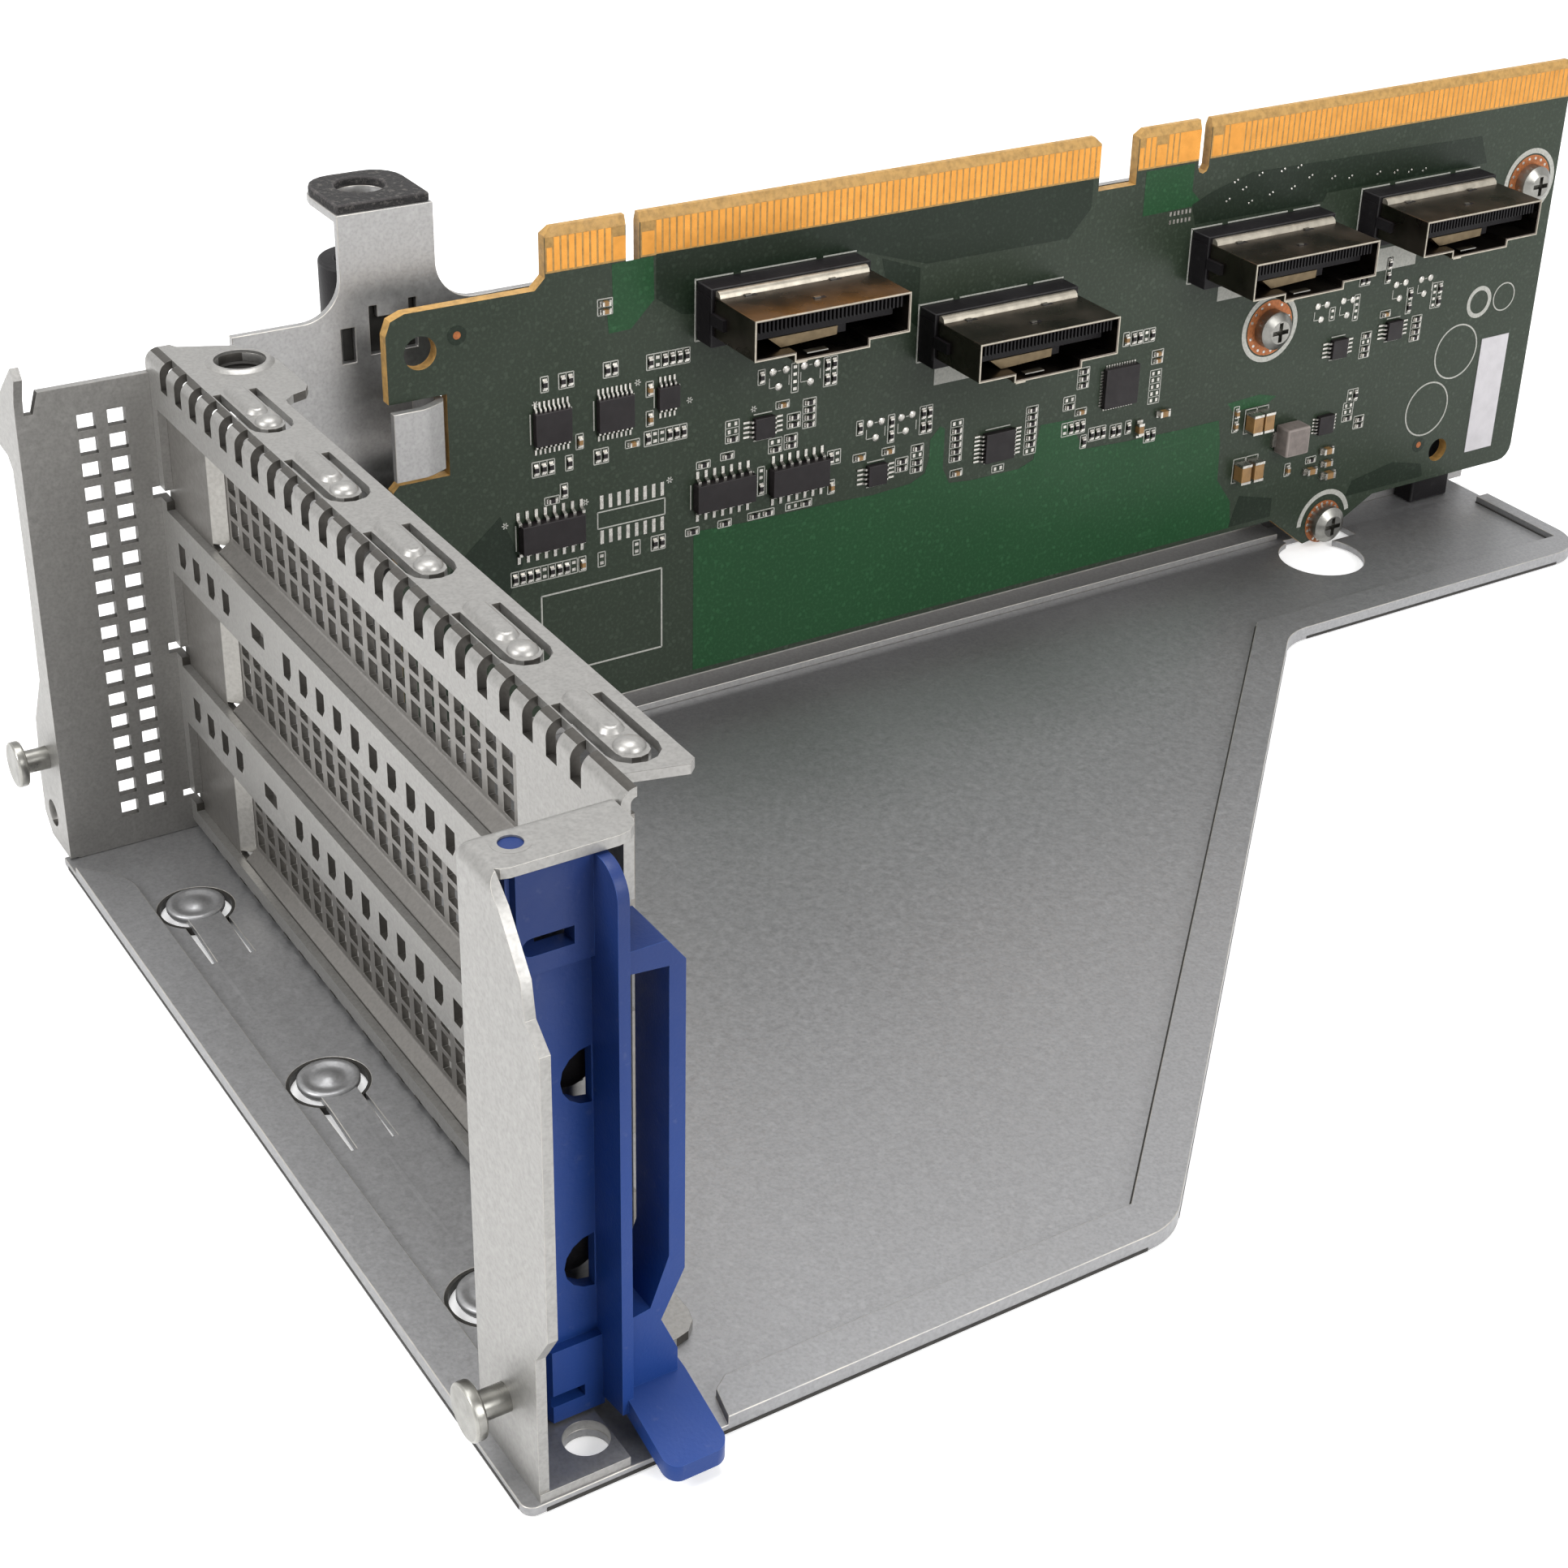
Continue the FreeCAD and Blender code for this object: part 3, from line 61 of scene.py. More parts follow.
def prism_into(bm, axis, outline, low, high):
    """A straight prism over an outline in the plane across the axis."""
    bottom = [bm.verts.new(spot(axis, u, v, low)) for u, v in outline]
    top = [bm.verts.new(spot(axis, u, v, high)) for u, v in outline]
    bm.faces.new(bottom[::-1])
    bm.faces.new(top)
    count = len(outline)
    for index in range(count):
        other = (index + 1) % count
        bm.faces.new((bottom[index], bottom[other], top[other], top[index]))


def ring_points(u, v, radius, count, start=0.0):
    return [(u + radius * math.cos(start + math.tau * i / count),
             v + radius * math.sin(start + math.tau * i / count)) for i in range(count)]


def turned_into(bm, axis, u, v, profile, count=32):
    """A surface of revolution over a profile of (radius, height) that begins and ends on the axis."""
    rings = []
    for radius, height in profile:
        if radius < 1e-6:
            rings.append([bm.verts.new(spot(axis, u, v, height))])
        else:
            circle = ring_points(u, v, radius, count)
            rings.append([bm.verts.new(spot(axis, a, b, height)) for a, b in circle])
    for one, two in zip(rings, rings[1:]):
        for index in range(count):
            other = (index + 1) % count
            if len(one) == 1:
                bm.faces.new((one[0], two[other], two[index]))
            elif len(two) == 1:
                bm.faces.new((one[index], one[other], two[0]))
            else:
                bm.faces.new((one[index], one[other], two[other], two[index]))


def join_rings(bm, rings):
    count = len(rings[0])
    for one, two in zip(rings, rings[1:]):
        for index in range(count):
            other = (index + 1) % count
            bm.faces.new((one[index], one[other], two[other], two[index]))


def loop_into(bm, axis, levels):
    """A closed ring: each level is an outline and its height, and the last joins the first."""
    rings = [[bm.verts.new(spot(axis, u, v, height)) for u, v in outline] for outline, height in levels]
    join_rings(bm, rings + rings[:1])


def band_into(bm, axis, u, v, profile, count=40):
    """A ring turned about an axis over a closed profile of (radius, height)."""
    loop_into(bm, axis, [(ring_points(u, v, radius, count), height) for radius, height in profile])


def flat_band_into(bm, axis, u, v, inner, outer, low, high):
    """A flat ring between two radii and two heights."""
    band_into(bm, axis, u, v, [(outer, low), (outer, high), (inner, high), (inner, low)])


def line_into(bm, start, end, width, low, high, axis="X"):
    """A straight raised line between two points of the plane across an axis."""
    along, up = end[0] - start[0], end[1] - start[1]
    half = width / 2 / math.hypot(along, up)
    a, b = -up * half, along * half
    prism_into(bm, axis, [(start[0] + a, start[1] + b), (start[0] - a, start[1] - b),
                         (end[0] - a, end[1] - b), (end[0] + a, end[1] + b)], low, high)


def frame_into(bm, left, low, right, high, width, bottom, top):
    """Four lines round a field on the board's face."""
    for start, end in (((left, low), (right, low)), ((left, high), (right, high)),
                       ((left, low), (left, high)), ((right, low), (right, high))):
        line_into(bm, start, end, width, bottom, top)


def capsule(u, v, long, wide, count=8):
    """Outline of a slot with round ends, its length along u."""
    run, radius = long / 2 - wide / 2, wide / 2
    right = [(u + run + radius * math.sin(math.pi * i / count), v - radius * math.cos(math.pi * i / count))
             for i in range(count + 1)]
    left = [(2 * u - a, 2 * v - b) for a, b in right]
    return right + left


def mound_into(bm, axis, outline, low, rise, inset):
    """A raised bead: the outline at its foot, and a smaller one on top."""
    middle_u = sum(p[0] for p in outline) / len(outline)
    middle_v = sum(p[1] for p in outline) / len(outline)
    reach_u = max(abs(p[0] - middle_u) for p in outline)
    reach_v = max(abs(p[1] - middle_v) for p in outline)
    levels = []
    for part, height in ((0.0, 0.0), (0.45, 0.6), (1.0, 1.0)):
        shrink_u, shrink_v = 1 - inset * part / reach_u, 1 - inset * part / reach_v
        levels.append([bm.verts.new(spot(axis, middle_u + (u - middle_u) * shrink_u,
                                         middle_v + (v - middle_v) * shrink_v, low + rise * height))
                       for u, v in outline])
    join_rings(bm, levels)
    bm.faces.new(levels[-1])
    bm.faces.new(levels[0][::-1])


def placed(name, data):
    obj = bpy.data.objects.new(name, data)
    scene.collection.objects.link(obj)
    return obj


def placed_mesh(name, bm):
    """Turns a bmesh into a mesh object of the same name."""
    mesh = bpy.data.meshes.new(name)
    bm.to_mesh(mesh)
    bm.free()
    return placed(name, mesh)


def dress(obj, material, body):
    obj.data.materials.clear()
    obj.data.materials.append(material)
    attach(obj, body)
    return obj


def even_normals(obj, angle):
    """Smooth shading whose normals follow the large faces, so that flats stay flat."""
    obj.data.shade_smooth()
    obj.data.set_sharp_from_angle(angle=math.radians(angle))
    weighted = obj.modifiers.new("normals", "WEIGHTED_NORMAL")
    weighted.keep_sharp = True


def piece(name, bm, material, body="cage", smooth=None):
    """Turns a bmesh into a piece of the scene."""
    bmesh.ops.recalc_face_normals(bm, faces=bm.faces)
    obj = placed_mesh(name, bm)
    if smooth is not None:
        even_normals(obj, smooth)
    return dress(obj, material, body)


def loaded(node):
    """A node's mesh with its flat triangles joined into whole faces."""
    bm = bmesh.new()
    bm.from_mesh(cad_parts[node].data)
    bmesh.ops.remove_doubles(bm, verts=bm.verts, dist=2e-6)
    flat = [e for e in bm.edges if e.is_manifold and e.calc_face_angle(0) < 0.01]
    bmesh.ops.dissolve_edges(bm, edges=flat, use_verts=False, use_face_split=False)
    straight = []
    for vert in bm.verts:
        if len(vert.link_edges) == 2:
            one, two = [e.other_vert(vert).co - vert.co for e in vert.link_edges]
            if one.length > 0 and two.length > 0 and one.angle(two) > math.pi - 0.01:
                straight.append(vert)
    bmesh.ops.dissolve_verts(bm, verts=straight)
    return bm


def soften(node, width, material, body="cage", steps=2, angle=0.5):
    """Stands in for a node with the same shape and slightly rounded edges."""
    bm = loaded(node)
    # The rounded faces are marked for a lighter edge colour: partly wear and partly a painted highlight.
    edge = bm.loops.layers.float_color.new("edge")
    edges = [e for e in bm.edges if e.is_manifold and e.calc_face_angle(0) > angle]
    rounded = bmesh.ops.bevel(bm, geom=edges, offset=width * MM, offset_type="OFFSET", segments=steps,
                              profile=0.5, affect="EDGES", clamp_overlap=True)["faces"]
    for faces, shade in ((bm.faces, (0, 0, 0, 1)), (rounded, (1, 1, 1, 1))):
        for face in faces:
            for loop in face.loops:
                loop[edge] = shade
    obj = placed_mesh(node + "_skin", bm)
    even_normals(obj, 50)
    dress(obj, material, body)
    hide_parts(node)
    return obj


def shade_hollows(obj, material, largest):
    """Gives the walls inside a sheet's holes, up to an area in square millimetres, a dark painted shade."""
    obj.data.materials.append(material)
    for polygon in obj.data.polygons:
        # The left wall, in front of the panel, has its holes along X
        across = 0 if polygon.center.y < -0.2 * MM else 1
        if polygon.area < largest * MM * MM and abs(polygon.normal[across]) < 0.5:
            polygon.material_index = 1


# Materials: all built from nodes, in object space, with scales per metre

class Paint:
    def __init__(self, name, color, rough, metal=0.0):
        self.material = bpy.data.materials.new(name)
        self.material.use_nodes = True
        self.tree = self.material.node_tree
        self.shader = self.tree.nodes["Principled BSDF"]
        self.shader.inputs["Base Color"].default_value = (*color, 1)
        self.shader.inputs["Roughness"].default_value = rough
        self.shader.inputs["Metallic"].default_value = metal
        self.place = self.tree.nodes.new("ShaderNodeTexCoord").outputs["Object"]
        self.color = None
        self.base = color

    def add(self, kind, **inputs):
        node = self.tree.nodes.new(kind)
        for key, value in inputs.items():
            socket = node.inputs[key.replace("_", " ")]
            if isinstance(value, bpy.types.NodeSocket):
                self.tree.links.new(value, socket)
            else:
                socket.default_value = value
        return node

    def stretched(self, scale):
        node = self.add("ShaderNodeMapping", Vector=self.place)
        node.inputs["Scale"].default_value = scale
        return node.outputs["Vector"]

    def noise(self, scale, detail=2.0, rough=0.5, stretch=None):
        place = self.stretched(stretch) if stretch else self.place
        return self.add("ShaderNodeTexNoise", Vector=place, Scale=scale, Detail=detail,
                        Roughness=rough).outputs["Fac"]

    def cells(self, scale):
        """Distance to the nearest point of a scattered grid."""
        return self.add("ShaderNodeTexVoronoi", Vector=self.place, Scale=scale).outputs["Distance"]

    def height(self):
        """The height above the underside, in metres."""
        return self.add("ShaderNodeSeparateXYZ", Vector=self.place).outputs["Z"]

    def span(self, value, low, high, to_low, to_high):
        node = self.add("ShaderNodeMapRange", Value=value)
        node.inputs["From Min"].default_value = low
        node.inputs["From Max"].default_value = high
        node.inputs["To Min"].default_value = to_low
        node.inputs["To Max"].default_value = to_high
        return node.outputs["Result"]

    def times(self, one, two):
        node = self.tree.nodes.new("ShaderNodeMath")
        node.operation = "MULTIPLY"
        self.tree.links.new(one, node.inputs[0])
        self.tree.links.new(two, node.inputs[1])
        return node.outputs[0]

    def blend(self, amount, color):
        """Mixes a colour over what there is, by an amount from 0 to 1."""
        node = self.tree.nodes.new("ShaderNodeMix")
        node.data_type = "RGBA"
        under = node.inputs[6]
        if self.color is None:
            under.default_value = (*self.base, 1)
        else:
            self.tree.links.new(self.color, under)
        node.inputs[7].default_value = (*color, 1)
        self.tree.links.new(amount, node.inputs[0])
        self.color = node.outputs[2]
        self.tree.links.new(self.color, self.shader.inputs["Base Color"])

    def wear_and_sheen(self, color, most):
        """Brings a lighter colour out along the rounded edges, broken up in patches: partly rubbed wear and
        partly a painted highlight.
        """
        edge = self.tree.nodes.new("ShaderNodeAttribute")
        edge.attribute_name = "edge"
        patches = self.span(self.noise(230, 3.0, 0.7), 0.32, 0.60, most * 0.25, most)
        self.blend(self.times(edge.outputs["Fac"], patches), color)

    def roughness(self, value):
        self.tree.links.new(value, self.shader.inputs["Roughness"])

    def bump(self, height, distance, strength=1.0):
        before = self.shader.inputs["Normal"]
        node = self.add("ShaderNodeBump", Height=height, Distance=distance, Strength=strength)
        if before.is_linked:
            self.tree.links.new(before.links[0].from_socket, node.inputs["Normal"])
        self.tree.links.new(node.outputs["Normal"], before)


def sheet_metal(name, color, rough, rub=(0.50, 0.47, 0.42), metal=0.75):
    """Zinc coated sheet: a fine grain, faint stains, scratches, and lighter sheared edges, partly rubbed wear
    and partly a painted highlight.
    """
    paint = Paint(name, color, rough, metal=metal)
    dark = tuple(c * 0.78 for c in color)
    light = tuple(min(1.0, c * 1.20) for c in color)
    stain = (color[0] * 0.84, color[1] * 0.78, color[2] * 0.68)
    paint.blend(paint.span(paint.noise(2600, 1.0), 0.42, 0.66, 0, 0.50), dark)
    paint.blend(paint.span(paint.noise(1500, 1.0, 0.4), 0.52, 0.74, 0, 0.40), light)
    paint.blend(paint.span(paint.noise(24, 3.0, 0.6), 0.45, 0.75, 0, 0.05), light)
    paint.blend(paint.span(paint.noise(75, 5.0, 0.7), 0.60, 0.80, 0, 0.12), stain)
    scratch = paint.noise(300, 2.0, 0.6, stretch=(0.05, 1.5, 0.6))
    paint.blend(paint.span(scratch, 0.70, 0.73, 0, 0.35), light)
    paint.wear_and_sheen(rub, 0.75)
    paint.roughness(paint.span(paint.noise(900, 2.0, 0.6), 0.3, 0.7, rough - 0.03, rough + 0.05))
    paint.bump(paint.noise(1900, 2.0), 0.00003, 0.5)
    paint.bump(paint.span(scratch, 0.68, 0.74, 0, 1), 0.00001, 0.4)
    return paint.material


def plastic(name, color, rough, grain=0.00004, dust=(0.30, 0.30, 0.30), dusty=0.12, rub=0.25):
    paint = Paint(name, color, rough)
    paint.shader.inputs["Specular IOR Level"].default_value = 0.14
    paint.blend(paint.span(paint.noise(55, 4.0, 0.6), 0.48, 0.75, 0, dusty), dust)
    paint.blend(paint.span(paint.noise(700, 3.0, 0.6), 0.60, 0.80, 0, dusty), dust)
    # Edges lighter: partly dust and wear, partly a painted highlight.
    paint.wear_and_sheen(dust, rub)
    paint.roughness(paint.span(paint.noise(120, 3.0), 0.3, 0.7, rough - 0.07, rough + 0.1))
    paint.bump(paint.noise(3200, 2.0), grain, 0.5)
    return paint.material


def latch_plastic(name):
    """Blue moulding: darker near its top in painted shade, with specks of dust, and its edges lighter, partly
    scuffed and partly a painted highlight.
    """
    paint = Paint(name, (0.011, 0.043, 0.200), 0.40)
    paint.shader.inputs["Specular IOR Level"].default_value = 0.22
    # Painted shade: darker towards the top, broken up a little by noise.
    shade = paint.times(paint.span(paint.height(), 0.030, 0.058, 0, 0.5),
                        paint.span(paint.noise(30, 2.0), 0.2, 0.8, 0.8, 1.0))
    paint.blend(shade, (0.013, 0.016, 0.048))
    paint.blend(paint.span(paint.noise(60, 4.0, 0.6), 0.52, 0.78, 0, 0.06), (0.20, 0.22, 0.30))
    paint.blend(paint.span(paint.noise(900, 2.0, 0.6), 0.66, 0.80, 0, 0.08), (0.30, 0.31, 0.36))
    paint.wear_and_sheen((0.05, 0.13, 0.42), 0.7)
    paint.roughness(paint.span(paint.noise(160, 3.0), 0.3, 0.7, 0.33, 0.50))
    paint.bump(paint.noise(2800, 2.0), 0.00004, 0.5)
    return paint.material


def solder_mask(name, color, rough=0.34):
    """Printed board under its lacquer: a faint weave, covered vias and specks of dust."""
    paint = Paint(name, color, rough)
    paint.shader.inputs["Specular IOR Level"].default_value = 0.22
    light = tuple(c * 1.7 + 0.012 for c in color)
    dark = tuple(c * 0.7 for c in color)
    paint.blend(paint.span(paint.noise(45, 3.0, 0.6), 0.35, 0.70, 0, 0.35), dark)
    paint.blend(paint.span(paint.cells(700), 0.16, 0.24, 0.45, 0), light)
    paint.blend(paint.span(paint.noise(2200, 1.0), 0.50, 0.70, 0, 0.35), light)
    paint.blend(paint.span(paint.noise(650, 2.0, 0.6, stretch=(1, 0.15, 1)), 0.66, 0.72, 0, 0.25), light)
    paint.roughness(paint.span(paint.noise(90, 3.0), 0.3, 0.7, rough - 0.05, rough + 0.1))
    paint.bump(paint.span(paint.cells(700), 0.12, 0.26, 1, 0), 0.00002, 0.5)
    paint.bump(paint.noise(1800, 1.0), 0.00001, 0.4)
    return paint.material


def foam_finish(name):
    paint = Paint(name, (0.014, 0.013, 0.013), 0.92)
    paint.blend(paint.span(paint.noise(1500, 2.0, 0.7), 0.54, 0.68, 0, 0.5), (0.13, 0.12, 0.11))
    paint.blend(paint.span(paint.cells(1800), 0.05, 0.22, 0.5, 0), (0.003, 0.003, 0.003))
    # Edges lighter: partly wear, partly a painted highlight.
    paint.wear_and_sheen((0.10, 0.09, 0.09), 0.4)
    paint.bump(paint.noise(1300, 3.0, 0.7), 0.0003, 0.9)
    return paint.material


def flat_finish(name, color, rough, metal=0.0, spread=0.25, scale=900):
    """A small part's finish: its colour varies a little, and so does its gloss."""
    paint = Paint(name, color, rough, metal)
    paint.shader.inputs["Specular IOR Level"].default_value = 0.3
    dark = tuple(c * (1 - spread) for c in color)
    light = tuple(min(1.0, c * 1.5 + 0.02) for c in color)
    paint.blend(paint.span(paint.noise(scale, 3.0, 0.6), 0.40, 0.70, 0, 1), dark)
    # Edges lighter: partly wear, partly a painted highlight.
    paint.wear_and_sheen(light, 0.6)
    paint.roughness(paint.span(paint.noise(scale * 0.6, 2.0), 0.3, 0.7, max(0.05, rough - 0.07), rough + 0.1))
    paint.bump(paint.noise(scale * 2.5, 2.0), 0.00001, 0.3)
    return paint.material


PLATE = sheet_metal("plate_zinc", (0.30, 0.30, 0.305), 0.42)
WALL = sheet_metal("wall_zinc", (0.36, 0.355, 0.35), 0.42)
PANEL = sheet_metal("panel_zinc", (0.31, 0.303, 0.29), 0.40, rub=(0.40, 0.385, 0.36))
BRACKET = sheet_metal("bracket_zinc", (0.31, 0.304, 0.292), 0.42)
COVER = sheet_metal("cover_zinc", (0.205, 0.195, 0.182), 0.36, rub=(0.27, 0.255, 0.235))
# Painted light: a lighter zinc for the lit slope beside each cover's grille.
LIT_SLOPE = sheet_metal("cover_band", (0.30, 0.29, 0.27), 0.36)
# Painted shade for the walls inside the holes of the panel and the covers.
HOLE_SHADE = sheet_metal("hole_walls_painted_shade", (0.075, 0.070, 0.063), 0.45, rub=(0.12, 0.115, 0.105))
# Dark painted shade for seams, nicks, openings and the collar below the flange's hole.
PAINTED_SHADE = flat_finish("painted_shade_dark", (0.035, 0.033, 0.030), 0.6, metal=0.3)
BLUE = latch_plastic("latch_blue")
BLACK = plastic("moulded_black", (0.008, 0.007, 0.008), 0.45, dusty=0.03, rub=0.08)
FOAM = foam_finish("foam_black")
CHIP = flat_finish("chip_epoxy", (0.011, 0.008, 0.009), 0.5)
NICKEL = flat_finish("shell_nickel", (0.125, 0.105, 0.088), 0.28, metal=1.0, spread=0.35, scale=260)
BRIGHT = flat_finish("screw_zinc", (0.27, 0.265, 0.245), 0.32, metal=1.0, spread=0.25, scale=700)
# Lighter nickel for the cut rims and rolled bands: partly cut metal and partly a painted highlight.
CUT_RIM_SHEEN = flat_finish("cut_nickel_and_sheen", (0.42, 0.385, 0.32), 0.35, metal=0.8, spread=0.25, scale=700)
SOLDER = flat_finish("solder", (0.55, 0.53, 0.49), 0.28, metal=0.9, spread=0.4, scale=1500)
FERRITE = flat_finish("inductor_grey", (0.21, 0.18, 0.165), 0.55)
TAN = flat_finish("capacitor_tan", (0.30, 0.17, 0.065), 0.35)
MASK = solder_mask("board_mask", (0.025, 0.036, 0.023))
POUR = solder_mask("board_pour", (0.009, 0.056, 0.017))
DARK_GREEN = solder_mask("board_dark_green", (0.008, 0.016, 0.008))
LAMINATE = flat_finish("board_edge", (0.46, 0.27, 0.085), 0.5, spread=0.35, scale=1200)
GOLD = flat_finish("contact_gold", (0.64, 0.285, 0.058), 0.30, metal=0.85, spread=0.15, scale=500)
BRASS = flat_finish("tongue_brass", (0.16, 0.12, 0.07), 0.4, metal=0.8)
COPPER = flat_finish("copper_ring", (0.40, 0.14, 0.05), 0.45, metal=0.5, spread=0.4, scale=2200)
PRINT = flat_finish("board_print", (0.46, 0.46, 0.42), 0.6, spread=0.25, scale=2500)
LABEL = flat_finish("blank_label", (0.60, 0.58, 0.60), 0.5, spread=0.1, scale=400)


# Skins in place of the CAD's own nodes, with the same shapes and rounded edges

soften("cover_plate", 0.40, PLATE, steps=3)
soften("riser_wall", 0.20, WALL)
shade_hollows(soften("io_panel", 0.16, PANEL), HOLE_SHADE, 4.6)
soften("latch_bracket", 0.18, BRACKET)
for number in (1, 2, 3):
    shade_hollows(soften("slot_cover_%d" % number, 0.12, COVER), HOLE_SHADE, 2.6)
soften("release_latch", 0.30, BLUE, body="latch", steps=3)
for number in (1, 2, 3, 4):
    soften("connector_base_%d" % number, 0.15, BLACK)
    soften("connector_shell_%d" % number, 0.08, NICKEL)
soften("screw_knob", 0.35, BLACK, body="thumb_screw", steps=3)
soften("captive_screw", 0.15, BRIGHT, body="thumb_screw")
soften("shoulder_pins", 0.25, BRIGHT, steps=3)
soften("board_screws", 0.18, BRIGHT, steps=3)
soften("board_standoffs", 0.1, BRIGHT)
soften("foam_pad", 0.25, FOAM)
soften("end_block", 0.3, BLACK)
soften("wall_studs", 0.2, BLACK)
for name in ("buffer_chips", "logic_chips", "small_chips", "main_chip"):
    soften(name, 0.1, CHIP)
soften("power_inductor", 0.3, FERRITE)
soften("power_capacitors", 0.12, TAN)


# Riser board: bevelled along its contact edge, with raw laminate on every cut face

BEVEL_FOOT, BOARD_TOP, BOARD_THICK = 71.0, 72.2, 1.57
BEVEL_DEPTH = 0.42
SUNK, PROUD = -0.02, 0.05


def make_board():
    """The board's own solid with its bevel, and laminate on the faces that were cut."""
    bm = bmesh.new()
    bm.from_mesh(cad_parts["riser_board"].data)
    bmesh.ops.remove_doubles(bm, verts=bm.verts, dist=2e-6)
    bmesh.ops.bisect_plane(bm, geom=bm.verts[:] + bm.edges[:] + bm.faces[:], dist=1e-7,
                           plane_co=(0, 0, BEVEL_FOOT * MM), plane_no=(0, 0, 1))
    for vert in bm.verts:
        if vert.co.z > (BOARD_TOP - 0.1) * MM:
            vert.co.x += BEVEL_DEPTH * MM if vert.co.x < -BOARD_THICK * MM / 2 else -BEVEL_DEPTH * MM
    bm.normal_update()
    cut = [abs(face.normal.x) < 0.97 or face.calc_center_median().z > BEVEL_FOOT * MM for face in bm.faces]
    obj = placed_mesh("riser_board_skin", bm)
    dress(obj, MASK, "cage")
    obj.data.materials.append(LAMINATE)
    for polygon, raw in zip(obj.data.polygons, cut):
        polygon.material_index = 1 if raw else 0
    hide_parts("riser_board")


def make_pours():
    """Copper under the mask shows as a brighter green, and some fields are a darker green."""
    bright = [
        [(68.7, 27.7), (76.9, 27.3), (90.5, 27.2), (96.9, 26.9), (103.1, 27.3), (105.4, 28.4), (106.0, 30.5),
         (106.0, 33.2), (107.6, 34.9), (108.4, 34.4), (108.4, 28.4), (109.6, 26.0), (113.5, 25.6),
         (121.6, 25.6), (124.1, 26.5), (125.0, 31.6), (130.7, 31.4), (131.7, 28.6), (133.2, 26.3),
         (140.8, 25.9), (150.6, 25.7), (158.4, 25.7), (159.1, 22.1), (159.4, 15.8), (162.4, 11.7),
         (163.0, 7.2), (68.7, 7.2)],
        [(57.0, 66.3), (62.8, 66.4), (62.9, 60.8), (59.6, 57.5), (56.5, 57.4), (56.3, 60.0), (57.1, 61.8)],
        [(159.8, 28.1), (166.0, 28.4), (169.4, 27.5), (167.6, 26.6), (161.0, 26.6)],
        [(140.2, 66.2), (148.8, 66.2), (148.8, 62.2), (151.0, 60.0), (140.2, 59.8)],
    ]
    # Fields of a darker green.
    bare = [
        [(63.2, 66.6), (131.0, 66.4), (131.0, 62.4), (127.4, 58.6), (104.0, 58.8), (93.2, 62.2),
         (69.2, 62.4), (69.2, 57.8), (66.8, 58.2), (63.2, 60.8)],
        [(96.8, 60.7), (103.0, 58.4), (103.0, 50.0), (98.5, 54.0)],
        [(152.9, 61.7), (159.8, 63.4), (205.0, 62.6), (206.9, 58.2), (174.6, 58.2), (174.0, 57.0),
         (149.9, 57.2), (149.0, 60.2)],
        [(162.6, 7.3), (171.0, 7.3), (171.0, 10.4), (164.2, 12.2)],
        [(186.6, 7.3), (203.0, 7.3), (202.4, 9.6), (196.0, 11.2), (187.6, 9.8)],
        [(27.8, 7.4), (34.0, 7.4), (44.0, 29.0), (41.0, 36.0), (34.0, 30.0)],
    ]
    copper, laminate = ("copper_pours", bright, POUR, 0.02), ("darker_green_fields", bare, DARK_GREEN, 0.025)
    for name, fields, material, top in (copper, laminate):
        bm = bmesh.new()
        for outline in fields:
            prism_into(bm, "X", outline, -0.05, top)
        piece(name, bm, material)


def make_contacts():
    """Gold fingers on both faces of the two contact edges."""
    bm = bmesh.new()

    def finger(left, right, high):
        for low_x, high_x in ((-0.05, 0.04), (-BOARD_THICK - 0.04, -BOARD_THICK + 0.05)):
            box_into(bm, (low_x, left, 66.75), (high_x, right, high))

    first, second, half = 47.57, 47.57 + 90.51, 0.37
    count, before_key, key = 82, 11, 2
    short, tall = 69.7, 70.95
    # Fingers that differ: their number, the pitches they run on for, and their top
    low_edge = {1: (0, short), 10: (1, short), 12: (1, short)}
    high_edge = {1: (0, short), 4: (1, short), 8: (3, tall), 12: (1, short), 15: (2, tall)}
    for base, special in ((first, low_edge), (second, high_edge)):
        number = 1
        while number <= count:
            place = base + number + (0 if number <= before_key else key)
            wide, high = special.get(number, (0, tall))
            finger(place - half, place + wide + half, high)
            number += wide + 1
    piece("edge_contacts", bm, GOLD)
    ground = bmesh.new()
    for left, right in ((48.0, 58.9), (61.0, 131.9), (138.6, 149.4), (151.5, 222.5)):
        box_into(ground, (-0.05, left, 66.5), (0.02, right, 71.0))
    piece("contact_ground", ground, LAMINATE)


SCREWS = [(216.8, 53.8), (166.4, 38.9), (182.3, 4.0)]


def make_screw_rings():
    """Tinned copper and a printed ring round each of the board's screws."""
    copper, white, vias = bmesh.new(), bmesh.new(), bmesh.new()
    via = [(0, 0.02), (0.26, 0.02), (0.22, 0.07), (0, 0.08)]
    for y, z in SCREWS:
        outer, middle = (4.3, 3.75) if z > 10 else (3.55, 3.1)
        flat_band_into(copper, "X", y, z, 1.9, outer, SUNK, 0.03)
        for a, b in ring_points(y, z, middle, 18):
            if draw.random() < 0.8:
                turned_into(vias, "X", a, b, via, 8)
    inner, outer = 4.55, 5.35
    for y, z in SCREWS[:2]:
        flat_band_into(white, "X", y, z, inner, outer, SUNK, PROUD)
    # The lowest ring is cut off where the board's tab ends
    arc = [math.radians(angle) for angle in range(12, 184, 6)]
    y, z = SCREWS[2]
    prism_into(white, "X", [(y + outer * math.cos(a), z + outer * math.sin(a)) for a in arc]
               + [(y + inner * math.cos(a), z + inner * math.sin(a)) for a in reversed(arc)], SUNK, PROUD)
    piece("screw_land_copper", copper, COPPER)
    piece("screw_land_print", white, PRINT)
    piece("screw_land_vias", vias, SOLDER)


# Groups of small chip parts: middle along the board and up, columns, rows, lying down, tan

